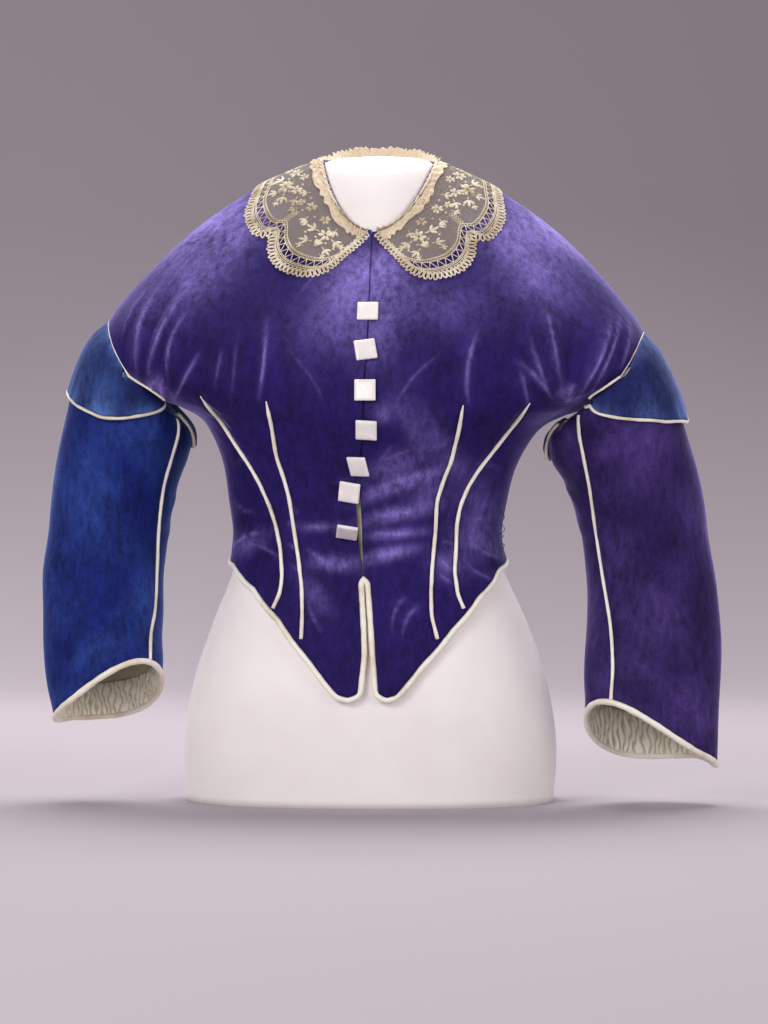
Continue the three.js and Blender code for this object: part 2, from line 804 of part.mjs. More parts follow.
/** How far a sleeve folds back over the panels at an angle: 0 on top of the arm, 1 under it. */
function foldedBack(angle, side) {
  const { point, away } = armholeEdge(angle, side);
  const leaving = sleeveRing(1, angle, side).sub(point).normalize();
  return smooth(0.85 - leaving.dot(away), 0, 0.8);
}

for (const side of [-1, 1]) {
  const points = range(48, (k) => {
    const angle = (2 * Math.PI * k) / 48;
    const { point, normal, away } = armholeEdge(angle, side);
    const step = UNDERARM_STEP * foldedBack(angle, side);
    return moved(moved(point, away, SLEEVE_START), normal, step);
  });
  armholeCurve[side] = new THREE.CatmullRomCurve3(points, true, "catmullrom", 0.5);
}

/** Ring k of a sleeve at an angle from the inner side: 90 is behind and 270 in front. */
function sleeveRing(k, angle, side) {
  if (k === 0) return armholeCurve[side].getPoint(THREE.MathUtils.euclideanModulo(angle / (2 * Math.PI), 1));
  const at = (name) => SLEEVES[side][name][k - 1];
  const corner = Math.exp(-(((THREE.MathUtils.euclideanModulo(angle, 2 * Math.PI) - 3.0) / 0.35) ** 2));
  const tilt = (at("rise") * Math.cos(angle) - at("dip") * Math.sin(angle)) / 2;
  return new THREE.Vector3(
    at("x") - side * at("width") * Math.cos(angle),
    at("y") + at("depth") * Math.sin(angle),
    at("z") + tilt + at("twist") * Math.sin(2 * angle) - at("tip") * corner,
  );
}

/** Inside surface of a sleeve, smooth through its rings. */
function sleeve(angle, step, side) {
  const i = Math.min(Math.floor(step), CUFF_STEP - 1);
  const rings = [i - 1, i, i + 1, i + 2].map((k) => {
    return sleeveRing(Math.min(Math.max(k, 0), CUFF_STEP), angle, side);
  });
  if (i === 0) rings[0] = rings[1].clone().multiplyScalar(2).sub(rings[2]);
  if (i === CUFF_STEP - 1) rings[3] = rings[2].clone().multiplyScalar(2).sub(rings[1]);
  const [a, b, c, d] = rings;
  const through = (name) => catmullRom(a[name], b[name], c[name], d[name], step - i);
  return new THREE.Vector3(through("x"), through("y"), through("z"));
}

/** Outward normal of a sleeve. */
function sleeveNormal(angle, step, side) {
  const surface = (u, v) => sleeve(u, v, side);
  return normalOf(surface, angle, step, 0.04, 0.05, 0, CUFF_STEP).multiplyScalar(side);
}

/** Point of a sleeve a distance outside its inside surface. */
const onSleeve = (angle, step, side, height) => {
  return moved(sleeve(angle, step, side), sleeveNormal(angle, step, side), height);
};

/** Angle of the front seam along a sleeve. */
const frontSeam = (step, side) => radians(spline(SLEEVES[side].seam, step - 1));

/** Angle that half a seam gap makes round a sleeve. */
function sleeveGap(angle, step, side) {
  return SEAM_GAP / 2 / (sleeve(angle + 0.02, step, side).distanceTo(sleeve(angle - 0.02, step, side)) / 0.04);
}

const SLEEVE_STEPS = [0, 0.3, 0.7, 1.2, 1.8, 2.5, 3.2, 3.9, 4.6, 5.3, 6, 6.7, 7.4, 8.1, 8.6, CUFF_STEP];
const UPPER_COLUMNS = 10;
const UNDER_COLUMNS = 9;

/** Walls of a sleeve half between two seams, given by their angles at a step. */
function sleeveHalf(side, columns, from, to) {
  const cell = (height) => SLEEVE_STEPS.map((step) => range(columns + 1, (j) => {
    const start = from(step) + sleeveGap(from(step), step, side);
    const end = to(step) - sleeveGap(to(step), step, side);
    return onSleeve(start + ((end - start) * j) / columns, step, side, height);
  }));
  const inner = cell(0);
  const outer = cell(VELVET_WALL);
  const normal = inner.map((line, i) => line.map((point, j) => outer[i][j].clone().sub(point).normalize()));
  return { inner, outer, normal };
}

const CAP_LIFT = 0.9; // a cap starts this far off its sleeve and stands out by the flare at its edge
const CAP_FLARE = 1.6;
const CAP_SHARES = [0, 0.22, 0.45, 0.7, 1];

const CAP_COLUMN = 13; // widest column of a cap, in degrees
const CAP_RISE = 0.5; // most that its edge climbs in a column, in rings

/** Angles of a cap's columns, with the table's own among them. */
function capAngles(side) {
  const { angle, edge } = CAPS[side];
  return angle.flatMap((from, k) => {
    if (k === angle.length - 1) return [from];
    const climb = Math.abs(edge[k + 1] - edge[k]) / CAP_RISE;
    const parts = Math.ceil(Math.max((angle[k + 1] - from) / CAP_COLUMN, climb));
    return range(parts, (part) => from + ((angle[k + 1] - from) * part) / parts);
  });
}

/** The cap: a layer over the top of the sleeve, from the armhole seam to its lower edge. */
function capPanel(side) {
  const { angle, edge } = CAPS[side];
  const angles = capAngles(side);
  const under = (degrees) => foldedBack(radians(degrees), side);
  const place = (share, degrees) => {
    const top = 0.08 + 0.75 * under(degrees);
    const step = top + Math.max(lines(angle, edge, degrees) - top, 0.2) * share;
    return [radians(degrees), step];
  };
  const cell = (height) => CAP_SHARES.map((share) => angles.map((degrees) => {
    const flare = CAP_FLARE * (1 - 0.7 * under(degrees)) * share + 0.6 * under(degrees);
    const lift = VELVET_WALL + CAP_LIFT + flare + height;
    return onSleeve(...place(share, degrees), side, lift);
  }));
  const normal = CAP_SHARES.map((share) => {
    return angles.map((degrees) => sleeveNormal(...place(share, degrees), side));
  });
  return { inner: cell(0), outer: cell(VELVET_WALL), normal };
}

// The sleeve mouths are lined with silk gathered into narrow upright puffs.
const RUCHES = 24;
const RUCHE_DEPTH = 2;
const LINING_GAP = 1.5; // from the sleeve's inside
const LINING_STEPS = [8.25, 8.65, 8.96];

function cuffLining(side) {
  const cell = (depth) => LINING_STEPS.map((step) => range(2 * RUCHES, (j) => {
    const angle = (Math.PI * j) / RUCHES;
    return onSleeve(angle, step, side, -(LINING_GAP + (j % 2) * RUCHE_DEPTH + depth));
  }));
  return { inner: cell(SILK_WALL), outer: cell(0) };
}

const SEAM_CORD_STEPS = SLEEVE_STEPS.filter((step) => step > 1);
for (const side of [-1, 1]) {
  const name = sideName(side);
  const blue = side < 0 ? VELVET_BLUE : VELVET_PURPLE;
  const seam = (step) => frontSeam(step, side);
  const behind = () => radians(BACK_SEAM);
  const round = (step) => 2 * Math.PI + frontSeam(step, side);
  const upper = sleeveHalf(side, UPPER_COLUMNS, behind, round);
  const under = sleeveHalf(side, UNDER_COLUMNS, seam, behind);
  add(`upper_sleeve_${name}`, wall(upper), blue, 0.85);
  add(`under_sleeve_${name}`, wall(under), blue, 0.85);

  const cap = capPanel(side);
  add(`sleeve_cap_${name}`, wall(cap), VELVET_BLUE, 0.85);
  const last = CAP_SHARES.length - 1;
  const capEdge = cap.inner[0].map((_, j) => edgePlace(cap, last, j, last - 1, j));
  add(`cap_cord_${name}`, cord(besideEdge(capEdge, CAP_CORD), CAP_CORD), IVORY, 0.6);

  const seamPlaces = SEAM_CORD_STEPS.map((step) => ({
    point: onSleeve(seam(step), step, side, VELVET_WALL + REST_GAP + SLEEVE_CORD),
    normal: sleeveNormal(seam(step), step, side),
  }));
  add(`sleeve_cord_${name}`, cord(seamPlaces, SLEEVE_CORD), IVORY, 0.6);

  const mouth = SLEEVE_STEPS.length - 1;
  const cuffEdge = [
    ...range(UPPER_COLUMNS, (j) => edgePlace(upper, mouth, j, mouth - 1, j)),
    ...range(UNDER_COLUMNS, (j) => edgePlace(under, mouth, j, mouth - 1, j)),
  ];
  const cuffPlaces = besideEdge(cuffEdge, CUFF_CORD, { round: true });
  add(`cuff_cord_${name}`, cord(cuffPlaces, CUFF_CORD, { round: true }), IVORY, 0.6);
  add(`cuff_lining_${name}`, wall(cuffLining(side), { round: true }), IVORY, 0.7);
}

// ---- Collar and neck frill ------------------------------------------------------------------

const COLLAR_LIFT = 3;
const COLLAR_COLUMNS = 80;
const COLLAR_SHARES = [0, 0.4, 0.68, 0.84, 1];
const GAP_BAND = 2; // the band of the collar with the open gaps between its bars

/** Place on the collar: column k counts round the neck from the closure to the closure. */
function collarPlace(k, share) {
  const last = COLLAR.neck.length - 1;
  const round = (2 * k) / COLLAR_COLUMNS - 1; // -1 and 1 at the closure, 0 at the back
  const knot = last * (1 - Math.abs(round));
  const at = (name) => spline(COLLAR[name], knot);
  const turn = radians(at("neck") + (at("edge") - at("neck")) * share);
  const row = NECK_ROW - 0.05 + (at("row") - NECK_ROW + 0.05) * share;
  return { turn: round < 0 ? -turn : turn, row };
}

const collarGrid = (height) => COLLAR_SHARES.map((share) => range(COLLAR_COLUMNS + 1, (k) => {
  const { turn, row } = collarPlace(k, share);
  return moved(body(turn, row), bodyNormal(turn, row), height);
}));
const collar = { inner: collarGrid(COLLAR_LIFT), outer: collarGrid(COLLAR_LIFT + LACE_WALL) };
const barGap = (i, k) => i === GAP_BAND && k % 2 === 1;
add("lace_collar", wall(collar, { open: barGap }), LACE_CREAM, 0.9);

// A band of gathered net stands round the neck edge, open at the closure.
const FRILL_WAVES = 30;
const FRILL_DEPTH = 1.6;
const FRILL_HEIGHT = 9;
const FRILL_START = radians(4);

/** Points of the frill at a distance outside its middle, low edge first. */
function frillGrid(out) {
  return [0, 1].map((share) => range(2 * FRILL_WAVES + 1, (k) => {
    const around = FRILL_START + ((2 * Math.PI - 2 * FRILL_START) * k) / (2 * FRILL_WAVES);
    const turn = around - 2 * Math.PI * (around > Math.PI);
    const normal = bodyNormal(turn, NECK_ROW);
    const outward = new THREE.Vector3(Math.sin(turn), -Math.cos(turn), 0);
    const along = new THREE.Vector3(Math.cos(turn), Math.sin(turn), 0);
    const rise = normal.clone().cross(along).normalize();
    if (rise.z < 0) rise.negate();
    const up = new THREE.Vector3(0, 0, 1).addScaledVector(outward, 0.2).normalize();
    const wave = VELVET_WALL / 2 + (k % 2 ? FRILL_DEPTH / 2 : -FRILL_DEPTH / 2) + out;
    const foot = moved(moved(body(turn, NECK_ROW), rise, REST_GAP), normal, wave);
    return moved(foot, up, FRILL_HEIGHT * share);
  }));
}
add("neck_frill", wall({ inner: frillGrid(-LACE_WALL / 2), outer: frillGrid(LACE_WALL / 2) }), LACE_CREAM, 0.9);

// ---- Buttons --------------------------------------------------------------------------------

const BUTTON_BEVEL = 0.7;

/** A square button with its edges taken off, its middle at the origin and its face towards +Z. */
function buttonGeometry() {
  const half = BUTTON_SIDE / 2 - BUTTON_BEVEL;
  const outline = new THREE.Shape();
  outline.moveTo(-half, -half);
  outline.lineTo(half, -half);
  outline.lineTo(half, half);
  outline.lineTo(-half, half);
  outline.closePath();
  const depth = BUTTON_THICKNESS - 2 * BUTTON_BEVEL;
  const bevel = { bevelThickness: BUTTON_BEVEL, bevelSize: BUTTON_BEVEL, bevelSegments: 1 };
  const geometry = new THREE.ExtrudeGeometry(outline, { depth, bevelEnabled: true, ...bevel });
  return geometry.translate(0, 0, -depth / 2);
}

BUTTONS.x.forEach((x, k) => {
  const height = BUTTONS.z[k];
  const row = crossing((at) => spline(BODY.front, at) - height, 1, NECK_ROW);
  const turn = turnAt(x - LEAN * Math.max(height - WAIST, 0), row);
  const normal = bodyNormal(turn, row);
  const swing = radians(BUTTONS.swing[k]);
  const nod = radians(BUTTONS.nod[k]);
  const tipped = (BUTTON_SIDE / 2) * (Math.abs(Math.sin(swing)) + Math.abs(Math.sin(nod)));
  const lift = VELVET_WALL + BUTTON_LIFT + BUTTON_THICKNESS / 2 + tipped;
  const across = new THREE.Vector3(0, 0, 1).cross(normal).normalize();
  const up = normal.clone().cross(across);
  const frame = new THREE.Matrix4().makeBasis(across, up, normal);
  const turned = new THREE.Matrix4().makeRotationFromEuler(new THREE.Euler(nod, swing, radians(BUTTONS.spin[k])));
  const geometry = buttonGeometry().applyMatrix4(frame.multiply(turned));
  geometry.translate(...moved(body(turn, row), normal, lift).toArray());
  add(`button_${k + 1}`, geometry, PEARL, 0.25);
});

// ---- Dress form -----------------------------------------------------------------------------

const FORM_COLUMNS = 24;
const FORM_ROWS = [0, 1, 2, 3, 3.6, 4.2, 4.7, 5.2, 5.8, 6.6, 7.5, 8.5, 9.3, 10, 10.7, 11.3, 12, 12.8, 13.6,
  14.5, 15.5, 16.5, 17.4, 17.9];
const ARM_PLATE = 12; // the form ends this far inside each armhole
const ARM_SOFTNESS = 5;
const NECK_TOP = 580;
const NECK_CENTRE = new THREE.Vector3(7, 18, NECK_TOP);
const NECK_DOME = table(`
  share lift
  0.95  0.35
  0.84  0.7
  0.62  0.9
  0.32  0.98
`);

/** The form under the cloth: the body drawn in, and flattened where the arms would be. */
function formPoint(turn, row) {
  const point = moved(body(turn, row), bodyNormal(turn, row), -FORM_CLEARANCE);
  if (row === 0) point.z = 0;
  if (point.z < 300) return point;
  const limit = lines(ARMHOLE.height, ARMHOLE.x, point.z) - ARM_PLATE;
  const over = (Math.abs(point.x) - limit) / ARM_SOFTNESS;
  const pressed = limit - ARM_SOFTNESS * Math.log1p(Math.exp(-Math.abs(over))) - ARM_SOFTNESS * Math.max(-over, 0);
  point.x = Math.sign(point.x) * pressed;
  return point;
}

function dressForm() {
  const ring = (row) => range(FORM_COLUMNS, (k) => formPoint(-Math.PI + (2 * Math.PI * k) / FORM_COLUMNS, row));
  const rings = FORM_ROWS.map(ring);
  const neck = rings[rings.length - 1];
  NECK_DOME.share.forEach((share, k) => {
    rings.push(neck.map((point) => {
      const drawn = NECK_CENTRE.clone().lerp(point, share);
      drawn.z = point.z + (NECK_TOP - point.z) * NECK_DOME.lift[k];
      return drawn;
    }));
  });
  const points = [...rings.flat(), new THREE.Vector3(0, 0, 0), NECK_CENTRE];
  const foot = points.length - 2;
  const top = points.length - 1;
  const id = (i, k) => i * FORM_COLUMNS + (k % FORM_COLUMNS);
  const faces = [];
  for (let k = 0; k < FORM_COLUMNS; k += 1) {
    faces.push([foot, id(0, k + 1), id(0, k)], [top, id(rings.length - 1, k), id(rings.length - 1, k + 1)]);
    for (let i = 0; i < rings.length - 1; i += 1) {
      faces.push([id(i, k), id(i, k + 1), id(i + 1, k + 1)], [id(i, k), id(i + 1, k + 1), id(i + 1, k)]);
    }
  }
  return solid(points, faces);
}
add("dress_form", dressForm(), FORM_WHITE, 0.55);

export default bodice;
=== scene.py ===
"""A fitted velvet day bodice of about 1860, worn by a limbless dress form.

Lengths are in millimetres, and become metres where a mesh is made. +Z is up, the front faces -Y and the
wearer's left is +X. A "turn" is the angle round the body from the middle of the front, and a "row" is a
place between two rows of the BODY table, which may be a fraction.
"""

import bpy
import numpy as np
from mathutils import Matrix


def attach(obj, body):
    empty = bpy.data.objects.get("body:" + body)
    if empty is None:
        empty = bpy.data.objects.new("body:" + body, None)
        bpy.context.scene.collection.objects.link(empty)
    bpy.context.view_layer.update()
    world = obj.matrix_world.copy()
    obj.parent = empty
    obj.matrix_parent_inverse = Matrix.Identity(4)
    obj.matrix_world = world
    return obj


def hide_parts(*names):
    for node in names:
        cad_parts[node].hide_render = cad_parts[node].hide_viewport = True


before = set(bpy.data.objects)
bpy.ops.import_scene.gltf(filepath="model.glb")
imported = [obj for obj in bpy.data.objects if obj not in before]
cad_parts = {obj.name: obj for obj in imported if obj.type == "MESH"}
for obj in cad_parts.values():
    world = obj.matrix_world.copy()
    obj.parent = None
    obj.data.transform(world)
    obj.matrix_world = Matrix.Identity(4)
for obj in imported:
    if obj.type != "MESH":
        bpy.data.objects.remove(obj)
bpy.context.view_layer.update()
pi = np.pi
radians = np.radians


# ---- The room ------------------------------------------------------------------------------------
# A costume studio: a sweep of mauve-grey paper that curves up behind, large soft boxes overhead and to
# both sides, and a long lens at waist height, a little to the wearer's right.

VIEW_TURN = radians(4)
VIEW_DISTANCE = 3200
VIEW_CENTRE = 12.6  # how far the picture's middle lies to the side of the origin
VIEW_HEIGHT = 259.2
SENSOR = 36
LENS = 125  # 921.6 mm show from top to bottom at the origin


def linear(colour):
    """A colour written as sRGB hex, in linear values, by the sRGB curve."""
    channels = np.array([int(colour[k : k + 2], 16) for k in (1, 3, 5)]) / 255
    curved = np.where(channels > 0.04045, ((channels + 0.055) / 1.055) ** 2.4, channels / 12.92)
    return (*curved, 1.0)


def node(tree, kind, settings=None, **links):
    """Adds a shader node. settings are its properties or inputs; links are inputs by name, with _ for a
    space, or by _ and a number, each taking another node's output or a value."""
    made = tree.nodes.new("ShaderNode" + kind)
    for name, value in (settings or {}).items():
        if hasattr(made, name):
            setattr(made, name, value)
        else:
            made.inputs[name].default_value = value
    for name, source in links.items():
        socket = made.inputs[int(name[1:])] if name[0] == "_" else made.inputs[name.replace("_", " ")]
        if isinstance(source, bpy.types.NodeSocket):
            tree.links.new(source, socket)
        else:
            socket.default_value = source
    return made


def new_material(name, **shader):
    """A material with its Principled shader's inputs set, and the shader's node."""
    material = bpy.data.materials.new(name)
    material.use_nodes = True
    surface = material.node_tree.nodes["Principled BSDF"]
    for key, value in shader.items():
        surface.inputs[key.replace("_", " ")].default_value = value
    return material, material.node_tree, surface


def wired(surface, **sources):
    """Links outputs of nodes into a shader, by its inputs' names with _ for a space."""
    for name, source in sources.items():
        surface.id_data.links.new(source, surface.inputs[name.replace("_", " ")])


scene = bpy.context.scene
scene.view_settings.view_transform = "Standard"

lens = bpy.data.cameras.new("camera")
lens.sensor_fit = "VERTICAL"
lens.sensor_height = SENSOR
lens.lens = LENS
camera = bpy.data.objects.new("camera", lens)
camera.location = (
    (VIEW_CENTRE * np.cos(VIEW_TURN) + VIEW_DISTANCE * np.sin(VIEW_TURN)) / 1000,
    (VIEW_CENTRE * np.sin(VIEW_TURN) - VIEW_DISTANCE * np.cos(VIEW_TURN)) / 1000,
    VIEW_HEIGHT / 1000,
)
camera.rotation_euler = (pi / 2, 0, VIEW_TURN)
scene.collection.objects.link(camera)
scene.camera = camera

haze = bpy.data.worlds.new("studio_haze")
haze.use_nodes = True
haze.node_tree.nodes["Background"].inputs["Color"].default_value = linear("#a39aa1")
haze.node_tree.nodes["Background"].inputs["Strength"].default_value = 0.62
scene.world = haze

# Each soft box: its place and the point that it faces, its width and its power in watts.
SOFT_BOXES = {
    "over": ((0.0, 0.8, 2.1), (0.0, 0.0, 0.45), 1.4, 58),
    "key": ((-1.5, -2.4, 1.7), (0.0, 0.0, 0.3), 1.3, 50),
    "fill": ((2.3, -1.6, 1.0), (0.0, 0.0, 0.3), 1.6, 26),
    "low": ((-0.3, -3.0, 0.5), (0.0, 0.0, 0.2), 1.2, 12),
    "backdrop": ((-1.6, 1.2, 0.9), (-0.6, 3.4, 0.5), 1.0, 16),
    "behind": ((1.6, 2.2, 1.4), (0.0, 0.0, 0.4), 1.2, 16),
    "behind_right": ((-1.8, 2.0, 1.4), (0.0, 0.0, 0.4), 1.2, 14),
}
for name, (place, target, width, power) in SOFT_BOXES.items():
    box = bpy.data.lights.new(name, "AREA")
    box.size = width
    box.energy = power
    lamp = bpy.data.objects.new(name, box)
    lamp.location = place
    aim = np.array(target) - np.array(place)
    lamp.rotation_euler = (np.arccos(-aim[2] / np.linalg.norm(aim)), 0, np.arctan2(aim[1], aim[0]) - pi / 2)
    scene.collection.objects.link(lamp)

# The paper sweep: flat from in front of the camera to 2 m behind the form, then up through a quarter turn.
SWEEP_HALF = 7.0
SWEEP_FRONT = -9.0
SWEEP_BEND = 1.9  # where the quarter turn starts, and its radius
SWEEP_TOP = 6.0
bend = np.linspace(0, pi / 2, 25)
profile = [(SWEEP_FRONT, 0.0), *zip(SWEEP_BEND * (1 + np.sin(bend)), SWEEP_BEND * (1 - np.cos(bend)))]
profile.append((2 * SWEEP_BEND, SWEEP_TOP))
sweep_mesh = bpy.data.meshes.new("paper_sweep")
sweep_points = [(x, y, z) for y, z in profile for x in (-SWEEP_HALF, SWEEP_HALF)]
sweep_faces = [(2 * k, 2 * k + 1, 2 * k + 3, 2 * k + 2) for k in range(len(profile) - 1)]
sweep_mesh.from_pydata(sweep_points, [], sweep_faces)
sweep_mesh.shade_smooth()
paper, _, _ = new_material("matt_backdrop_paper", Base_Color=linear("#a99fa6"), Roughness=0.95)
sweep_mesh.materials.append(paper)
sweep = bpy.data.objects.new("paper_sweep", sweep_mesh)
scene.collection.objects.link(sweep)


# ---- The dress form ------------------------------------------------------------------------------
# A padded half figure with no head, arms or legs, covered in white cotton jersey drawn tight. The
# bodice hangs on its shoulders and waist, and its hips end in a flat base.

WAIST = 237
LEAN = 0.0227  # slope to the wearer's left above the waist
FORM_CLEARANCE = 3.5  # from the cloth's inside to the form
ARM_PLATE = 12  # the form ends this far inside each armhole
ARM_SOFTNESS = 5
PLATE_FOOT = 300  # the arm plates start above this height
NECK_TOP = 580
NECK_CENTRE = np.array([7, 18, NECK_TOP])


def table(text):
    """Columns of a short table by name: a line of names, then one line for each row."""
    names, *rows = [line.split() for line in text.strip().splitlines()]
    return {name: np.array([float(row[k]) for row in rows]) for k, name in enumerate(names)}


# Sections of the worn body from the base to the neck edge: heights at the side, front and back,
# half width, y at the side, front and back, how square the section is, and its middle's shift.
BODY = table("""
side front back width ySide yFront yBack square middle
0    0     0    168   5     -108   122   2.2    0
50   50    50   171   5     -114   124   2.2    0
105  105   105  163   4     -118   120   2.2    0
160  160   160  145   2     -108   108   2.15   0
205  205   205  126   -2    -97    92    2.1    -1
237  237   237  119   -4    -93    86    2.1    -2
270  268   270  123   -4    -98    90    2.1    -2.5
300  296   300  129   -3    -107   97    2.1    -2
325  318   325  140   0     -117   102   2.15   -1
341  331   341  152   3     -123   105   2.2    0
351  341   353  170   6     -127   107   2.2    0
360  351   368  194   8     -128   109   2.2    0
388  371   397  243   10    -128   111   2.2    0
425  397   431  240   12    -122   111   2.3    0
470  424   472  205   13    -108   107   2.3    0
513  450   514  161   13    -91    98    2.2    0
547  474   547  112   12    -74    88    2.1    0
563  490   567  80    11    -61    79    2.0    0
575  507   584  49    11    -48    70    2.0    0
""")
WAIST_ROW = 5
NECK_ROW = len(BODY["side"]) - 1
TURN_STEP = 0.02
ROW_STEP = 0.06

# The dropped armhole cut: half breadth of the body panels at each height.
ARMHOLE = table("""
height x
345    179
357    190
364    198
376    211
389    220
402    228
415    234
440    243
""")


def catmull(a, b, c, d, f):
    """Catmull-Rom curve from b to c at a share f of the way, a cubic through them."""
    bend = (2 * a - 5 * b + 4 * c - d) * f**2 + (3 * b - a - 3 * c + d) * f**3
    return 0.5 * (2 * b + (c - a) * f + bend)


def spline(column, at):
    """Catmull-Rom curve through a column's values, one knot a row."""
    last = len(column) - 1
    place = np.clip(at, 0, last)
    i = np.minimum(place.astype(int), last - 1)
    b, c = column[i], column[i + 1]
    a = np.where(i > 0, column[np.maximum(i - 1, 0)], 2 * b - c)
    d = np.where(i < last - 1, column[np.minimum(i + 2, last)], 2 * c - b)
    return catmull(a, b, c, d, place - i)


def lines(xs, ys, x):
    """Straight lines through the points (xs, ys), where xs rises or falls throughout."""
    return np.interp(x, xs, ys) if xs[-1] > xs[0] else np.interp(x, xs[::-1], ys[::-1])


def smooth(x, low, high):
    """0 below low and 1 above high, with an s-shaped climb between."""
    share = np.clip((x - low) / (high - low), 0, 1)
    return share * share * (3 - 2 * share)


def power(value, exponent):
    """A power that keeps the value's sign."""
    return np.sign(value) * np.abs(value) ** exponent


def unit(vectors):
    """The same directions with length 1."""
    return vectors / np.maximum(np.linalg.norm(vectors, axis=-1, keepdims=True), 1e-9)


def upright_body(turn, row):
    """The body before it leans: at each row a superellipse of half width by depth, lower in front."""
    turn, row = np.broadcast_arrays(turn, row)
    at = {name: spline(column, row) for name, column in BODY.items()}
    exponent = 2 / at["square"]
    front = np.cos(turn) > 0
    depth = np.where(front, at["ySide"] - at["yFront"], at["yBack"] - at["ySide"])
    drop = np.where(front, at["front"], at["back"]) - at["side"]
    x = at["width"] * power(np.sin(turn), exponent)
    y = at["ySide"] - depth * power(np.cos(turn), exponent)
    return np.stack([x, y, at["side"] + drop * np.abs(np.cos(turn)) ** 1.6], -1)


def body(turn, row):
    """Inside surface of the bodice: the upright body sheared to the wearer's left above the waist."""
    x, y, z = np.moveaxis(upright_body(turn, row), -1, 0)
    above = np.maximum(z - WAIST, 0)
    leaning = x + LEAN * above + spline(BODY["middle"], row)
    return np.stack([leaning, y, z - LEAN * x * smooth(above, 0, 60)], -1)


def body_normal(turn, row):
    """Outward normal of the body: the cross product of its differences by turn and by row."""
    across = body(turn + TURN_STEP, row) - body(turn - TURN_STEP, row)
    along = body(turn, np.minimum(row + ROW_STEP, NECK_ROW)) - body(turn, np.maximum(row - ROW_STEP, 0))
    return unit(np.cross(across, along))


def corners(rows, columns, wrapped=False):
    """Corner numbers of the cells of a grid of points, whose last column meets the first if wrapped."""
    i = np.arange(rows - 1)[:, None]
    j = np.arange(columns if wrapped else columns - 1)[None, :]
    a, b = i * columns + j, i * columns + (j + 1) % columns
    return np.stack([a, b, b + columns, a + columns], -1).reshape(-1, 4)


def add_mesh(name, points, faces, materials, uv=None, marks=None, material_of=None):
    """A smooth object from points in millimetres and arrays of faces, one for each number of corners. uv
    and marks have a value for each point, and material_of a material's number for each array of faces. A
    shape that is inside out is turned round."""
    points = np.asarray(points, float).reshape(-1, 3)
    a, b, c = (points[np.concatenate([f[:, k] for f in faces])] for k in (0, 1, 2))
    volume = np.einsum("ij,ij->i", a, np.cross(b, c)).sum()
    volume += sum(np.einsum("ij,ij->i", points[f[:, 0]], np.cross(points[f[:, 2]], points[f[:, 3]])).sum()
                  for f in faces if f.shape[1] > 3)
    if volume < 0:
        faces = [f[:, ::-1] for f in faces]
    mesh = bpy.data.meshes.new(name)
    corner = np.concatenate([f.ravel() for f in faces]).astype(np.int32)
    count = np.concatenate([np.full(len(f), f.shape[1]) for f in faces]).astype(np.int32)
    mesh.vertices.add(len(points))
    mesh.vertices.foreach_set("co", (points / 1000).astype(np.float32).ravel())
    mesh.loops.add(len(corner))
    mesh.loops.foreach_set("vertex_index", corner)
    mesh.polygons.add(len(count))
    mesh.polygons.foreach_set("loop_start", (np.cumsum(count) - count).astype(np.int32))
    for material in materials:
        mesh.materials.append(material)
    if material_of:
        numbers = np.concatenate([np.full(len(f), k) for f, k in zip(faces, material_of)])
        mesh.polygons.foreach_set("material_index", numbers.astype(np.int32))
    mesh.update(calc_edges=True)
    mesh.shade_smooth()
    if uv is not None:
        layer = mesh.uv_layers.new(name="cloth")
        layer.data.foreach_set("uv", np.asarray(uv, np.float32).reshape(-1, 2)[corner].ravel())
    for key, values in (marks or {}).items():
        mesh.attributes.new(key, "FLOAT", "POINT").data.foreach_set("value", values.astype(np.float32).ravel())
    piece = bpy.data.objects.new(name, mesh)
    scene.collection.objects.link(piece)
    return piece


FORM_COLUMNS = 112
FORM_ROWS = 130
# The dome over the neck: how far each ring is drawn in, and its lift.
NECK_DOME = table("""
share lift
0.985 0.12
0.96  0.3
0.92  0.48
0.86  0.64
0.78  0.78
0.66  0.88
0.5   0.95
0.3   0.99
0.12  1
""")


def form_surface():
    """The body drawn in by its clearance and pressed softly flat at the arm plates, and a dome that draws
    the neck's ring in to its centre."""
    turn = np.linspace(-pi, pi, FORM_COLUMNS, endpoint=False)[None, :]
    row = np.linspace(0, NECK_ROW - 0.1, FORM_ROWS)[:, None]
    points = body(turn, row) - FORM_CLEARANCE * body_normal(turn, row)
    points[0, :, 2] = 0
    x, _, z = np.moveaxis(points, -1, 0)
    limit = lines(ARMHOLE["height"], ARMHOLE["x"], z) - ARM_PLATE
    over = (np.abs(x) - limit) / ARM_SOFTNESS
    pressed = limit - ARM_SOFTNESS * (np.log1p(np.exp(-np.abs(over))) + np.maximum(-over, 0))
    points[..., 0] = np.where(z > PLATE_FOOT, np.sign(x) * pressed, x)
    neck = points[-1]
    share, lift = NECK_DOME["share"][:, None, None], NECK_DOME["lift"][:, None]
    dome = NECK_CENTRE + (neck - NECK_CENTRE) * share
    dome[..., 2] = neck[:, 2] + (NECK_TOP - neck[:, 2]) * lift
    return np.concatenate([points, dome])


form_grid = form_surface()
form_rows = len(form_grid)
form_points = np.concatenate([form_grid.reshape(-1, 3), [[0, 0, 0]], [NECK_CENTRE]])
ring = np.arange(FORM_COLUMNS)
foot = np.full(FORM_COLUMNS, form_rows * FORM_COLUMNS)
top = (form_rows - 1) * FORM_COLUMNS
form_ends = np.concatenate([
    np.stack([foot, (ring + 1) % FORM_COLUMNS, ring], -1),
    np.stack([foot + 1, top + ring, top + (ring + 1) % FORM_COLUMNS], -1),
])


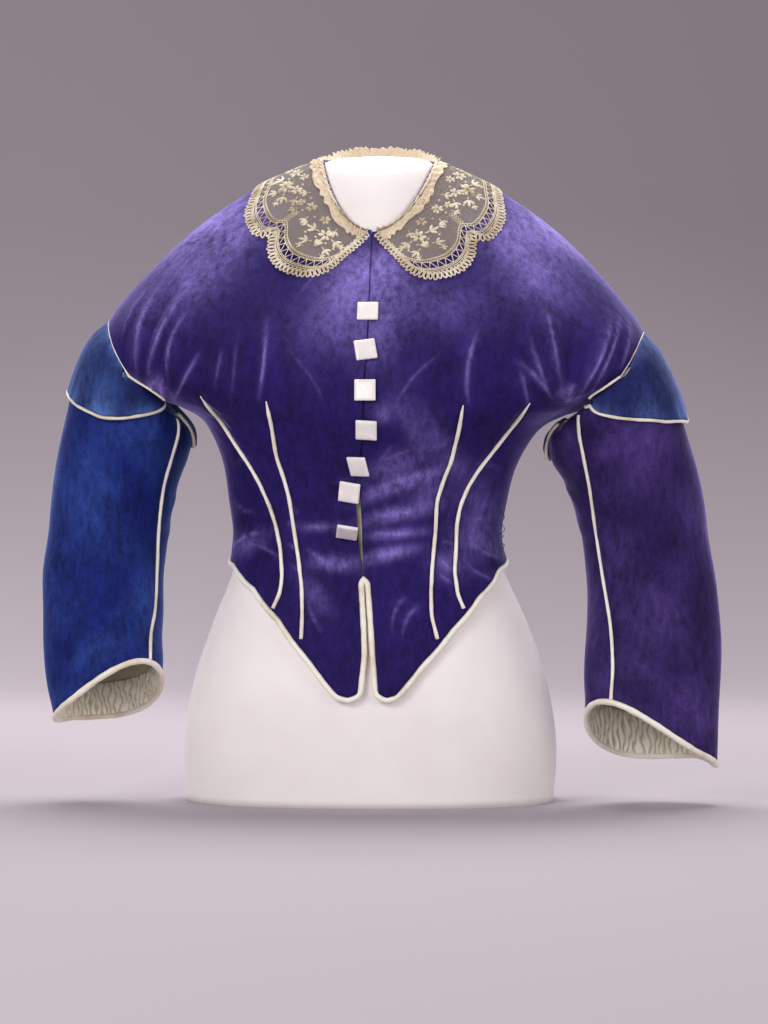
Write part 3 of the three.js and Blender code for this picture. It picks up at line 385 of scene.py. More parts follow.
def mottled(name, darker, lighter, drift, coordinates="Object", **shader):
    """A material whose colour drifts between two by a soft noise, with its nodes for more detail."""
    material, tree, surface = new_material(name, **shader)
    place = node(tree, "TexCoord").outputs[coordinates]
    noise = node(tree, "TexNoise", drift, Vector=place).outputs["Fac"]
    tint = node(tree, "Mix", {"data_type": "RGBA"}, _0=noise, _6=linear(darker), _7=linear(lighter))
    wired(surface, Base_Color=tint.outputs[2])
    return material, tree, surface, place, noise


# Cotton jersey: fine knitted ribs a millimetre apart, drawn coarser here so that they show, over soft
# wadding. Matt, with a faint warm tint.
jersey, tree, surface, place, wadding = mottled(
    "white_cotton_jersey", "#efe6e3", "#f8f3f1", {"Scale": 28.0, "Detail": 3.0},
    Roughness=0.82, Sheen_Weight=0.25, Sheen_Roughness=0.5,
)
RIB = 1.6
ribs = node(tree, "TexWave", {"Scale": 1000 / RIB / 20, "Distortion": 1.2, "Detail": 2.0}, Vector=place)
knit = node(tree, "Bump", {"Strength": 0.12, "Distance": 0.0004}, Height=ribs.outputs["Fac"])
soft = node(tree, "Bump", {"Strength": 0.2, "Distance": 0.002}, Height=wadding,
            Normal=knit.outputs["Normal"])
wired(surface, Normal=soft.outputs["Normal"])


def declared(piece, slot, *nodes, **cut):
    """Attaches a piece to the one body and hides the nodes it stands for; its finish, slot, and its cloth's cut,
    cut, are not used.
    """
    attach(piece, "root")
    if nodes:
        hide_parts(*nodes)
    return piece


form = add_mesh("form_cover", form_points, [corners(form_rows, FORM_COLUMNS, True), form_ends], [jersey])
declared(form, "form", "dress_form")


# ---- The velvet fronts ---------------------------------------------------------------------------
# Two fronts of purple silk velvet over cotton, each drawn to the figure by two darts, with soft folds
# where the armpit gathers them. The wearer's right front laps over the left and buttons there.

VELVET_WALL = 2  # velvet with its interlining and cotton lining
SEAM_GAP = 0.3
SIDE = pi / 2
ARMHOLE_DROP = {-1: 0, 1: 5}  # the wearer's left armhole sits lower
side_name = {-1: "right", 1: "left"}

# The closure down the middle of the front: its x, and how far each edge stands back from it.
CLOSURE = table("""
height x  stand
86     7  10.5
112    7  8.3
135    7  6.2
199.3  3  5.6
203.5  2  0.15
220    1  1.0
245    0  2.0
268    -1 2.0
292    -1 0.15
420    2  0.15
507    -1 0.15
""")

# Hem heights of the fronts, by the share of the way from the closure to the side seam.
FRONT_HEM = table("""
share right left
0     101.5 101.5
0.022 98    98
0.05  100.5 100.5
0.14  128   126
0.29  166   158.5
0.46  192.5 185
0.71  213   209.5
1     219.5 219.5
""")

# The two darts of each front: distance from the closure at each height.
DARTS = {
    "inner": table("""
height right left
353    84    86
305    73    78
288    66    72
270    60.5  67
242    57.5  64.5
215    55    60.5
191    55    56.5
168    56    55.5
148    58    59.5
"""),
    "outer": table("""
height right left
355    144   142.5
339    133   132
318    116   116
298    99    101.5
282    88    92.5
264    79    86
248    74    82.5
228    71    81
205    71    78
187    75    78.5
174    82    83
"""),
}

# Folds of the fronts: each end's breadth and height, how far it stands out (or in, below 0), how far it
# spreads to its sides, and how far it bows to its left.
FRONT_FOLDS = table("""
x0 z0 x1 z1 lift spread bow
-198 376 -181 462 4.4 7 7
-190 372 -150 460 4.6 7 6
-170 372 -154 436 3.6 6 5
-170 358 -140 400 3.4 5.5 -3
-216 410 -194 460 1.8 7 2
-194 374 -166 456 -2.8 5.5 7
-181 370 -158 440 -2.8 5 6
-166 368 -146 410 -1.8 4.5 2
-188 366 -178 378 2.4 2.6 3
-184 360 -174 372 2.2 2.2 -2
-178 362 -172 380 2 2.2 2
174 362 160 440 4.6 7 1
182 358 216 436 5 7 -7
194 362 224 440 4.2 6 -6
163 362 146 412 3.2 6 2
168 356 132 392 3 6 -2
178 366 186 436 -3.4 6 -2
190 364 222 436 -3 4.5 -7
222 382 230 430 2.4 5 -3
178 362 186 372 2.2 2.4 2
172 360 182 364 2 2.2 -2
-89 352 -84 432 2.6 6 -4
-80 350 -74 396 -1.2 6 2
-99 356 -98 410 -1 7 -4
-127 366 -120 402 1.6 7 0
-112 352 -106 420 0.9 10 0
94 349 103 418 3 6.5 5
104 352 112 410 -1.2 6 3
145 352 138 384 2 6 0
28 346 74 398 1.2 9 5
-28 350 -66 402 0.8 10 -4
12 300 51 316 1.3 6 2
7 279 60 293 1.7 6 2
6 254 48 259 1.4 5.5 2
6 242 44 241 1.4 4.5 -1
6 221 32 223 1.6 4.5 1
8 267 54 276 -0.9 6 1
9 248 50 249 -0.8 5 0
66 234 83 230 1.6 3.5 0
66 219 82 206 1.6 3.5 -2
64 208 80 196 1.2 3.5 -2
92 233 122 215 2 5 -3
91 250 118 256 1.2 5 2
94 226 120 204 -1.2 5 -3
90 212 114 198 1.4 5 -2
36 146 58 182 1.8 5 7
28 150 46 190 1.3 5 8
12 300 30 320 0.9 5 0
-52 246 -26 245 1.3 4 1
-30 284 -6 287 1.2 4 1
-34 212 -6 213 1.6 5 -2
-122 222 -80 242 2.4 5.5 6
-104 232 -70 216 1.6 4.5 3
-120 238 -86 256 -1.3 5 4
-52 228 -26 204 1.5 4.5 3
-48 184 -32 152 1.6 4.5 -2
-118 270 -90 258 1.3 5 -3
-66 268 -54 258 1.2 3.5 -1
-68 250 -56 246 1.1 3.5 1
-66 232 -54 224 1.2 3.5 0
-64 214 -54 206 1 3.5 0
-118 300 -94 306 0.8 6 3
118 296 94 302 0.8 6 -3
40 420 60 470 0.7 12 0
-60 440 -34 480 0.7 12 0
130 430 170 480 0.9 14 4
-140 436 -176 476 0.9 14 -4
""")

# Where the fronts are drawn lighter: crushed pile, and painted highlight at the shoulder tops, where light
# from above grazes them, and on the fold tops at the armpits. Centre, half breadth, half height, tilt in
# degrees, and strength.
FRONT_PILE_AND_HIGHLIGHTS = table("""
x z wide high tilt amount
-8 462 26 30 -10 0.75
22 468 18 26 0 0.6
28 300 24 9 18 0.5
34 284 32 6 20 1
30 258 26 6 12 0.8
28 240 26 4 6 0.65
22 222 22 5 12 0.85
58 276 16 14 0 0.35
-24 214 18 6 -4 0.75
-34 246 20 4 0 0.45
-40 186 18 8 -50 0.35
-181 370 7 8 10 1
-148 516 46 15 38 0.95
158 512 44 14 -38 0.95
101 252 16 34 0 0.4
70 318 10 34 30 0.3
46 330 8 30 24 0.3
14 412 18 30 0 0.35
-24 420 34 26 0 0.3
20 345 10 8 30 0.4
96 232 20 10 -20 0.3
74 214 14 12 -30 0.4
-104 230 22 8 24 0.4
60 440 50 26 0 0.22
150 470 46 26 -38 0.45
-150 470 46 26 38 0.45
110 510 40 18 -34 0.6
-110 512 40 18 34 0.6
178 363 8 6 0 0.8
""")


def height_row(heights, column="side"):
    """The row at a height at the side or the front of the body, read back from many rows."""
    rows = np.linspace(0, NECK_ROW, 1801)
    return np.interp(heights, spline(BODY[column], rows), rows)


def turn_at(x, row):
    """The turn at a distance from the body's middle line: the superellipse's breadth solved for it."""
    share = np.minimum(np.abs(x) / spline(BODY["width"], row), 1)
    return np.sign(x) * np.arcsin(share ** (spline(BODY["square"], row) / 2))


def past_cut(turn, row, side):
    """How far a point of the body lies outside the armhole cut."""
    point = upright_body(turn, row)
    return point[..., 0] - lines(ARMHOLE["height"], ARMHOLE["x"], point[..., 2] + ARMHOLE_DROP[side])


def crossing(f, low, high):
    """Where a function changes sign between two arrays of places, by halving."""
    low, high = np.broadcast_arrays(np.asarray(low, float), np.asarray(high, float))
    sign = np.sign(f(low))
    for _ in range(40):
        middle = (low + high) / 2
        same = np.sign(f(middle)) == sign
        low, high = np.where(same, middle, low), np.where(same, high, middle)
    return (low + high) / 2


ARMHOLE_ROWS = {
    side: (
        float(crossing(lambda row: past_cut(SIDE, row, side), 10, 12)),
        float(crossing(lambda row: past_cut(SIDE, row, side), 12, 14.5)),
    )
    for side in (-1, 1)
}


def seam_turn(row, side):
    """The turn of the side seam below the armhole and of the shoulder seam above it."""
    bottom, top = ARMHOLE_ROWS[side]
    under = SIDE + 0.13 * smooth(bottom - row, 0, bottom - 4)
    return np.where(row <= bottom, under, SIDE + 0.3 * smooth(row, top, NECK_ROW))


def armhole_turn(row, side, behind):
    """The turn where rows beside the armhole meet its cut, in front of the arm or behind it."""
    away = pi - 0.3 if behind else 0.3
    return crossing(lambda turn: past_cut(turn, row, side), np.full(np.shape(row), SIDE), away)


def beside_arm(row, side):
    """Whether rows lie beside the armhole."""
    bottom, top = ARMHOLE_ROWS[side]
    return (row > bottom + 1e-6) & (row < top - 1e-6)


def gap_turn(turn, row):
    """The angle that half a seam gap makes."""
    arc = np.linalg.norm(body(turn + 0.01, row) - body(turn - 0.01, row), axis=-1) / 0.02
    return SEAM_GAP / 2 / arc


def front_edge(row, side):
    """The turn where a front ends at its side: the side seam, the armhole or the shoulder seam."""
    seam = seam_turn(row, side)
    beside = beside_arm(row, side)
    return np.where(beside, armhole_turn(row, side, False), seam - gap_turn(seam, row))


def closure_turn(row, side):
    """The turn of a front's edge at the closure."""
    height = spline(BODY["front"], row)
    middle = lines(CLOSURE["height"], CLOSURE["x"], height)
    stand = lines(CLOSURE["height"], CLOSURE["stand"], height)
    return turn_at(middle + side * stand, row)


ROWS_LOW, ROWS_BESIDE, ROWS_HIGH = 60, 56, 48  # steps from the waist, beside the armhole and to the neck


def panel_rows(side):
    """Rows of a panel from the waist to the neck, closest together at both ends of the armhole, where
    they follow the cosine of its angle."""
    bottom, top = ARMHOLE_ROWS[side]
    loop = (bottom + top) / 2 - (top - bottom) / 2 * np.cos(np.linspace(0, pi, ROWS_BESIDE + 1))
    low = np.linspace(WAIST_ROW, bottom, ROWS_LOW, endpoint=False)
    return np.concatenate([low, loop, np.linspace(top, NECK_ROW, ROWS_HIGH + 1)[1:]])


def folds(x, z, marks, crest=None):
    """Height of folds at breadth x and height z. Each runs between its ends along a bowed line, swells by a
    power of a sine, and falls off sideways as a bell curve with a narrower peak on it. With a crest width,
    the sum of the thin lines along their tops instead, up to 1."""
    total = np.zeros(np.broadcast(x, z).shape)
    for x0, z0, x1, z1, lift, spread, bow in zip(*marks.values()):
        length = np.hypot(x1 - x0, z1 - z0)
        along_x, along_z = (x1 - x0) / length, (z1 - z0) / length
        share = ((x - x0) * along_x + (z - z0) * along_z) / length
        inside = np.clip(share, 0, 1)
        off = (z - z0) * along_x - (x - x0) * along_z - 4 * bow * inside * (1 - inside)
        swell = np.sin(pi * inside) ** 0.9 * (share > 0) * (share < 1)
        if crest:
            total += np.clip(lift / 3, 0, 1) * swell**1.6 * np.exp(-((off / crest) ** 2))
        else:
            peak = np.exp(-(np.hypot(off, 1) - 1) / (0.35 * spread))
            total += lift * swell * (0.65 * np.exp(-((off / spread) ** 2)) + 0.35 * peak)
    return np.minimum(total, 1) if crest else total


def pile_and_highlight(x, z, marks):
    """How much lighter the velvet is drawn at breadth x and height z, for crushed pile and for painted
    highlight: the sum of tilted bell curves.
    """
    total = np.zeros(np.broadcast(x, z).shape)
    for x0, z0, wide, high, tilt, amount in zip(*marks.values()):
        c, s = np.cos(radians(tilt)), np.sin(radians(tilt))
        across, up = (x - x0) * c + (z - z0) * s, (z - z0) * c - (x - x0) * s
        total += amount * np.exp(-((across / wide) ** 2) - (up / high) ** 2)
    return np.minimum(total, 1)


def dart_off(side, name, turn, row):
    """Signed distance across from a dart's line, and whether the height is within the dart, as 0 to 1."""
    height = spline(BODY["front"], row)
    dart = DARTS[name]
    middle = lines(CLOSURE["height"], CLOSURE["x"], height)
    line = middle + side * lines(dart["height"], dart[side_name[side]], height)
    ends = smooth(height, dart["height"][-1] - 4, dart["height"][-1] + 3)
    ends = ends * (1 - smooth(height, dart["height"][0] - 3, dart["height"][0] + 4))
    return upright_body(turn, row)[..., 0] - line, ends


FRONT_COLUMNS = 200
FRONT_BELOW = 32  # rows between the hem and the waist


def front_places(side):
    """Turns and rows of a front's grid: columns are shares of the way from the closure to the side,
    closer together at both edges; rows climb from the hem to the waist and on to the neck."""
    share = np.linspace(0, 1, FRONT_COLUMNS + 1)
    share = share + 0.7 * share * (1 - share) * (share - 0.5)
    up = np.linspace(0, 1, FRONT_BELOW, endpoint=False)[:, None]
    hem = lines(FRONT_HEM["share"], FRONT_HEM[side_name[side]], share)
    low = height_row(hem + (WAIST - hem) * up)
    high = np.repeat(panel_rows(side)[:, None], FRONT_COLUMNS + 1, axis=1)
    row = np.concatenate([low, high])
    start = closure_turn(row, side)
    return start + (side * front_edge(row, side) - start) * share, row


LINING_STRIDE = 4  # the lining's grid has a point for each fourth one of the velvet's


def lowest(values, reach):
    """The lowest value of a grid within a number of places in each direction, and not above 0."""
    rows, columns = values.shape
    padded = np.pad(values, reach, mode="edge")
    low = np.minimum.reduce([padded[k : k + rows] for k in range(2 * reach + 1)])
    return np.minimum(np.minimum.reduce([low[:, k : k + columns] for k in range(2 * reach + 1)]), 0)


def cloth(name, base, normal, lift, materials, uv, marks=None, wall=VELVET_WALL, stride=LINING_STRIDE):
    """A sheet with thickness. Its outside is the base grid moved out along the normals by the wall and the
    lift, which is 0 on a flat sheet. Its inside is a grid of every few points of the base, sunk by the
    lowest lift nearby, and its rim joins each coarse edge to the fine ones outside it."""
    rows, columns = base.shape[:2]
    outer = base + normal * (wall + lift)[..., None]
    i, j = np.arange(0, rows, stride), np.arange(0, columns, stride)
    coarse = np.ix_(i, j)
    inner = base[coarse] + normal[coarse] * lowest(lift, stride)[coarse][..., None]
    count = rows * columns
    number = np.arange(count).reshape(rows, columns)
    inside = count + np.arange(len(i) * len(j)).reshape(len(i), len(j))

    def loop(grid):
        return np.concatenate([grid[0, :-1], grid[:-1, -1], grid[-1, :0:-1], grid[:0:-1, 0]])

    fine, rough = loop(number), loop(inside)
    segments = np.arange(len(rough))
    fine_part = fine[(segments[:, None] * stride + np.arange(stride, -1, -1)) % len(fine)]
    rim = np.concatenate([fine_part, rough[segments, None], rough[(segments + 1) % len(rough), None]], 1)
    faces = [corners(rows, columns), corners(len(i), len(j))[:, ::-1] + count, rim]
    points = np.concatenate([outer.reshape(-1, 3), inner.reshape(-1, 3)])
    pairs = np.concatenate([uv.reshape(-1, 2), uv[coarse].reshape(-1, 2)])
    values = {
        key: np.concatenate([mark.ravel(), mark[coarse].ravel()]) for key, mark in (marks or {}).items()
    }
    return add_mesh(name, points, faces, materials, pairs, values, material_of=[0, 1, 0])


def lengths(grid):
    """Distance of each point of a grid along its row and along its column, in metres, for its UV map."""
    across = np.linalg.norm(np.diff(grid, axis=1), axis=-1)
    up = np.linalg.norm(np.diff(grid, axis=0), axis=-1)
    u = np.concatenate([np.zeros((len(grid), 1)), np.cumsum(across, 1)], 1)
    v = np.concatenate([np.zeros((1, grid.shape[1])), np.cumsum(up, 0)], 0)
    return np.stack([u, v], -1) / 1000


def velvet(name, deep, middle, pressed, sheen):
    """Velvet seen from its pile: deep where it stands, a middle tone in soft clouds drawn out along the
    pile, which lies downwards, and the light pressed tone where a per-point mark sets it, for crushed pile and
    for painted highlight. A sheen gives the rim of a silk pile."""
    material, tree, surface = new_material(
        name, Roughness=0.75, Specular_IOR_Level=0.18,
        Sheen_Weight=1.0, Sheen_Roughness=0.24, Sheen_Tint=linear(sheen),
    )
    place = node(tree, "TexCoord").outputs["Object"]
    drawn_out = node(tree, "Mapping", {"Scale": (1.0, 1.0, 0.45)}, Vector=place).outputs[0]
    clouds = node(tree, "TexNoise",
                  {"Scale": 24.0, "Detail": 6.0, "Roughness": 0.62, "Distortion": 0.6}, Vector=drawn_out)
    flecks = node(tree, "TexNoise",
                  {"Scale": 170.0, "Detail": 4.0, "Roughness": 0.7}, Vector=drawn_out)
    pile = node(tree, "TexNoise", {"Scale": 900.0, "Detail": 2.0, "Roughness": 0.7}, Vector=place)
    both = node(tree, "Mix", {"data_type": "FLOAT"}, _0=0.55,
                _2=clouds.outputs["Fac"], _3=flecks.outputs["Fac"])
    tone = node(tree, "ValToRGB", Fac=both.outputs[0])
    stops = tone.color_ramp.elements
    stops[0].position, stops[0].color = 0.38, linear(deep)
    stops[1].position, stops[1].color = 0.66, linear(middle)
    # The per-point mark holds crushed pile and painted highlight; it mixes in the light pressed tone.
    pile_and_highlight_mark = node(tree, "Attribute", {"attribute_name": "pile_and_highlight"}).outputs["Fac"]
    patches = node(tree, "MapRange", {"From Min": 0.35, "From Max": 0.62, "To Min": 0.15},
                   Value=both.outputs[0])
    patchy = node(tree, "Math", {"operation": "MULTIPLY"}, _0=pile_and_highlight_mark, _1=patches.outputs[0])
    lit = node(tree, "Mix", {"data_type": "RGBA"}, _0=patchy.outputs[0],
               _6=tone.outputs["Color"], _7=linear(pressed))
    tips = node(tree, "MapRange",
                {"From Min": 0.3, "From Max": 0.7, "To Min": 0.45, "To Max": 1.5}, Value=pile.outputs["Fac"])
    grain = node(tree, "Mix", {"data_type": "RGBA", "blend_type": "MULTIPLY"}, _0=0.5,
                 _6=lit.outputs[2], _7=tips.outputs[0])
    wired(surface, Base_Color=grain.outputs[2])
    rough = node(tree, "MapRange", {"To Min": 0.8, "To Max": 0.55}, Value=patchy.outputs[0])
    wired(surface, Roughness=rough.outputs[0])
    fur = node(tree, "Bump", {"Strength": 0.35, "Distance": 0.0006}, Height=pile.outputs["Fac"])
    crush = node(tree, "Bump", {"Strength": 0.35, "Distance": 0.0025}, Height=both.outputs[0],
                 Normal=fur.outputs["Normal"])
    wired(surface, Normal=crush.outputs["Normal"])
    return material


# Silk velvet dyed purple: nearly black where the pile stands up to the light, lavender where it lies over and in
# its painted highlights.
purple_velvet = velvet("purple_silk_velvet", "#170a42", "#2b1767", "#9480d6", "#b3a4f2")

# The lining: unbleached cotton sateen in a plain weave with threads 0.4 mm apart, drawn at 1 mm.
lining_cotton, tree, surface, place, _ = mottled(
    "unbleached_cotton_lining", "#b8ab90", "#d9cfb8", {"Scale": 60.0, "Detail": 5.0}, Roughness=0.85
)
WEAVE = 1.0
weave = node(tree, "TexChecker", {"Scale": 1000 / WEAVE}, Vector=place)
threads = node(tree, "Bump", {"Strength": 0.3, "Distance": 0.0003}, Height=weave.outputs["Fac"])
wired(surface, Normal=threads.outputs["Normal"])

DART_GROOVE = 1.3  # how far the velvet sinks beside a dart's piping
DART_PUCKER = 0.35  # how high the small puckers beside it stand
LAP = 1.5  # how far the wearer's right edge stands over the left
SEAM_ROLL = 0.8  # how far the velvet turns in at a seam


def front_lift(side, turn, row, base):
    """How far the velvet of a front stands off its smooth shape: its folds, faded out at the edges, less
    the grooves of its darts, plus the puckers that their stitching draws, plus or minus the lap at the
    closure, less the roll at its seams."""
    x, z = base[..., 0], base[..., 2]
    edge = np.abs(turn) - np.abs(front_edge(row, side))
    from_side = np.abs(edge) * spline(BODY["width"], row)
    height = spline(BODY["front"], row)
    closure = lines(CLOSURE["height"], CLOSURE["x"], height)
    from_closure = side * (upright_body(turn, row)[..., 0] - closure)
    fade = smooth(from_side, 0, 14) * smooth(from_closure, 3, 14)
    lift = folds(x, z, FRONT_FOLDS) * fade
    puckers = 0
    for name in DARTS:
        off, ends = dart_off(side, name, turn, row)
        lift = lift * (1 - ends * np.exp(-((off / 5) ** 2))) - DART_GROOVE * ends * np.exp(-((off / 3.2) ** 2))
        puckers += DART_PUCKER * ends * np.sin(height / 2.2 + off / 3) * np.exp(-np.abs(off) / 7)
    closed = smooth(height, 286, 300)
    lapped = LAP * np.exp(-((np.maximum(from_closure, 0) / 6) ** 2)) * closed
    lift = lift + (lapped if side < 0 else -0.6 * lapped)
    rolled = np.exp(-from_side / 2.5) * ~beside_arm(row, side)
    return lift - SEAM_ROLL * rolled + puckers


def nap_and_highlights_of(base, fold_marks, pile_highlight_marks):
    """How much lighter the velvet is drawn: the marks of a table, plus painted highlight on the folds, faint
    over their raised parts and strong in thin lines along their tops.
    """
    x, z = base[..., 0], base[..., 2]
    wide = np.clip(folds(x, z, fold_marks), 0, 4) / 4
    thin = folds(x, z, fold_marks, crest=1.3)
    return np.clip(pile_and_highlight(x, z, pile_highlight_marks) + 0.12 * wide + 0.75 * thin, 0, 1)


fronts = {}
front_pieces = {}
for side in (-1, 1):
    turn, row = front_places(side)
    base, normal = body(turn, row), body_normal(turn, row)
    lift = front_lift(side, turn, row, base)
    nap_and_highlight = nap_and_highlights_of(base, FRONT_FOLDS, FRONT_PILE_AND_HIGHLIGHTS)
    front = cloth(f"velvet_front_{side_name[side]}", base, normal, lift, [purple_velvet, lining_cotton],
                  lengths(base), {"pile_and_highlight": nap_and_highlight}, stride=2)
    front_pieces[side] = declared(front, "velvet_purple", f"front_{side_name[side]}",
                                  flat=(0.3, 0.46), area=0.1, held="draped", rests_on=[form])
    fronts[side] = {"base": base, "normal": normal}


# ---- The facing ----------------------------------------------------------------------------------
# A pale strip of twilled cotton behind the lowest buttons, which shows where the closure gapes.

FACING_HALF = 13
FACING_BACK = 2.0  # from its own inside to that of the fronts
FACING_WALL = 0.8

share = np.linspace(-1, 1, 25)
row = np.linspace(4.2, 7.2, 81)[:, None]
middle = lines(CLOSURE["height"], CLOSURE["x"], spline(BODY["front"], row))
turn = turn_at(middle + FACING_HALF * share, row)
normal = body_normal(turn, row)
base = body(turn, row) - FACING_BACK * normal
pull = 0.35 * np.sin(base[..., 2] / 3.1 + 0.4 * base[..., 0]) * np.sin(base[..., 2] / 17)

twill, tree, surface, place, _ = mottled(
    "pale_cotton_twill", "#8f8a66", "#cfc9a6", {"Scale": 90.0, "Detail": 4.0}, "UV",
    Roughness=0.8, Sheen_Weight=0.15,
)
TWILL = 1.1  # between the diagonal ribs, drawn coarser than the real 0.5
ribs = node(tree, "TexWave", {"Scale": 1000 / TWILL / 20, "bands_direction": "DIAGONAL"}, Vector=place)
raised = node(tree, "Bump", {"Strength": 0.4, "Distance": 0.0003}, Height=ribs.outputs["Fac"])
wired(surface, Normal=raised.outputs["Normal"])

facing = cloth("cotton_facing", base, normal, pull, [twill, twill], lengths(base), wall=FACING_WALL)
declared(facing, "facing", "front_facing", flat=(0.026, 0.09), held="draped",
         rests_on=list(front_pieces.values()))


# ---- The velvet back -----------------------------------------------------------------------------
# A back cut in one, and two side backs that curve from the hem to the armholes, in the same velvet.
# Their seams are pressed in, and the cloth drags a little between shoulders, arms and waist.

BACK_SEAM_OFF = 0.3  # radians from the middle of the back, at the waist

# Hem heights of the back, by the turn in degrees.
BACK_HEM = table("""
turn height
97.4 219.5
120  217
150  210
180  200
""")

# Folds behind: as those of the fronts, with x and z as seen from in front.
BACK_FOLDS = table("""
x0 z0 x1 z1 lift spread bow
-182 374 -196 446 3.6 6.5 5
-174 372 -172 448 4 7 6
-164 366 -146 430 3.6 6.5 6
-178 374 -184 440 -2 5 6
180 366 198 440 4.2 7 -6
172 362 166 440 3.8 6.5 -6
162 358 140 420 3.2 6.5 -5
176 368 182 436 -2.2 5 -6
-118 226 -74 244 2 5.5 -4
-112 240 -78 250 1.2 4.5 -3
116 224 72 240 2.2 5.5 4
110 242 70 254 1.2 5 3
-60 236 -8 241 1.5 5 2
-50 252 -14 256 1 4.5 -2
6 232 58 238 1.6 5 -2
12 250 54 246 0.9 4.5 2
-44 216 -6 212 1.3 5 2
8 214 50 218 1.4 5 -2
-30 268 30 272 0.8 7 3
-150 330 -110 300 1.2 8 4
150 326 108 296 1.3 8 -4
-90 380 -60 450 0.9 13 4
92 372 62 446 0.9 13 -4
-30 430 -34 520 0.7 12 3
36 424 30 516 0.7 12 -3
-150 470 -110 520 0.9 12 0
152 468 114 518 0.9 12 0
""")
# Where the back is drawn lighter, as for the fronts: crushed pile, and painted highlight at the shoulder tops
# and on the fold tops at the armpits.
BACK_PILE_AND_HIGHLIGHTS = table("""
x    z   wide high tilt amount
-24  240 26   5    4    0.6
30   236 26   6    -4   0.65
0    214 30   7    0    0.4
-90  236 20   8    -20  0.4
92   238 20   9    20   0.4
-60  440 40   30   10   0.3
58   452 40   30   -10  0.3
0    505 50   16   0    0.45
-120 512 40   18   38   0.6
122  510 40   18   -38  0.6
-176 376 14   9    -20  0.8
176  370 14   10   20   0.7
-60  330 24   14   0    0.2
70   310 24   14   0    0.25
""")


def back_seam_turn(row, side):
    """The seam between the back and a side back: a power of the height, from near the middle of the waist
    to the middle of the armhole."""
    bottom, top = ARMHOLE_ROWS[side]
    end = (bottom + top) / 2
    share = np.clip((row - WAIST_ROW) / (end - WAIST_ROW), 0, 1)
    start = pi - BACK_SEAM_OFF
    return start + (armhole_turn(np.array([end]), side, True)[0] - start) * share**1.7


def back_edge(row, side):
    """The turn where the back ends: its curved seam, the armhole or the shoulder seam."""
    bottom, top = ARMHOLE_ROWS[side]
    low = back_seam_turn(row, side)
    high = seam_turn(row, side)
    arm = np.where(beside_arm(row, side), armhole_turn(row, side, True), high + gap_turn(high, row))
    return np.where(row < (bottom + top) / 2 - 1e-6, low + gap_turn(low, row), arm)


def back_hem(turn):
    """Height of the back's hem at a turn."""
    return lines(BACK_HEM["turn"], BACK_HEM["height"], np.degrees(turn))


def back_lift(base, from_edge):
    """How far the velvet behind stands off its smooth shape: its folds, faded at its edges, less the roll
    at its seams."""
    lift = folds(base[..., 0], base[..., 2], BACK_FOLDS) * smooth(from_edge, 0, 12)
    return lift - SEAM_ROLL * np.exp(-from_edge / 2.5)


BACK_BELOW = 12  # rows between the hem and the waist
BACK_RADIUS = 100  # of the back's curve, about
share = np.linspace(-1, 1, 121)
half = np.abs(share)
left_half = share > 0
rows = {side: panel_rows(side) for side in (-1, 1)}
edges = {side: back_edge(rows[side], side) for side in (-1, 1)}
waist_reach = pi - np.where(left_half, edges[1][0], edges[-1][0])
hem = back_hem(pi - waist_reach * half)
up = np.linspace(0, 1, BACK_BELOW, endpoint=False)[:, None]
low_row = height_row(hem + (WAIST - hem) * up)
low_turn = np.broadcast_to(pi - waist_reach * share, low_row.shape)
middle_row = (rows[-1] + rows[1])[:, None] / 2
side_row = np.where(left_half, rows[1][:, None], rows[-1][:, None])
high_row = middle_row + (side_row - middle_row) * half
reach = pi - np.where(left_half, edges[1][:, None], edges[-1][:, None])
turn = np.concatenate([low_turn, pi - reach * share])
row = np.concatenate([low_row, high_row])
base, normal = body(turn, row), body_normal(turn, row)
from_edge = (1 - half) * np.concatenate([np.broadcast_to(waist_reach, low_row.shape), reach]) * BACK_RADIUS
back_grid = {"base": base, "normal": normal}
lift = back_lift(base, from_edge)
back = cloth("velvet_back", base, normal, lift, [purple_velvet, lining_cotton], lengths(base),
             {"pile_and_highlight": nap_and_highlights_of(base, BACK_FOLDS, BACK_PILE_AND_HIGHLIGHTS)})
declared(back, "velvet_purple", "back", flat=(0.4, 0.44), area=0.13, held="draped", rests_on=[form])

side_back_grids = {}
for side in (-1, 1):
    rows = panel_rows(side)
    bottom, top = ARMHOLE_ROWS[side]
    rows = rows[rows < (bottom + top) / 2 - 0.05]
    rows = rows[: len(rows) - (len(rows) + BACK_BELOW - 1) % LINING_STRIDE]
    share = np.linspace(0, 1, 41)
    seam = seam_turn(rows, side)
    beside = beside_arm(rows, side)
    start = np.where(beside, armhole_turn(rows, side, True), seam + gap_turn(seam, rows))
    end = back_seam_turn(rows, side)
    end = end - gap_turn(end, rows)
    hem = back_hem(start[0] + (end[0] - start[0]) * share)
    low_row = height_row(hem + (WAIST - hem) * up)
    low_seam = seam_turn(low_row, side)
    low_turn = low_seam + gap_turn(low_seam, low_row)
    low_turn = low_turn + (end[0] - low_turn) * share
    turn = side * np.concatenate([low_turn, start[:, None] + (end - start)[:, None] * share])
    row = np.concatenate([low_row, np.repeat(rows[:, None], len(share), 1)])
    base, normal = body(turn, row), body_normal(turn, row)
    width = np.concatenate([np.full(len(low_row), end[0] - start[0]), end - start])[:, None] * BACK_RADIUS
    beside = np.concatenate([np.zeros(len(low_row), bool), beside])[:, None]
    from_edge = np.minimum(np.where(beside, 99, share * width), (1 - share) * width)
    lift = back_lift(base, from_edge)
    side_back = cloth(f"velvet_side_back_{side_name[side]}", base, normal, lift, [purple_velvet, lining_cotton],
                      lengths(base), {"pile_and_highlight": nap_and_highlights_of(base, BACK_FOLDS, BACK_PILE_AND_HIGHLIGHTS)})
    declared(side_back, "velvet_purple", f"side_back_{side_name[side]}",
             flat=(0.15, 0.2), area=0.02, held="draped", rests_on=[form])
    side_back_grids[side] = {"base": base, "normal": normal}


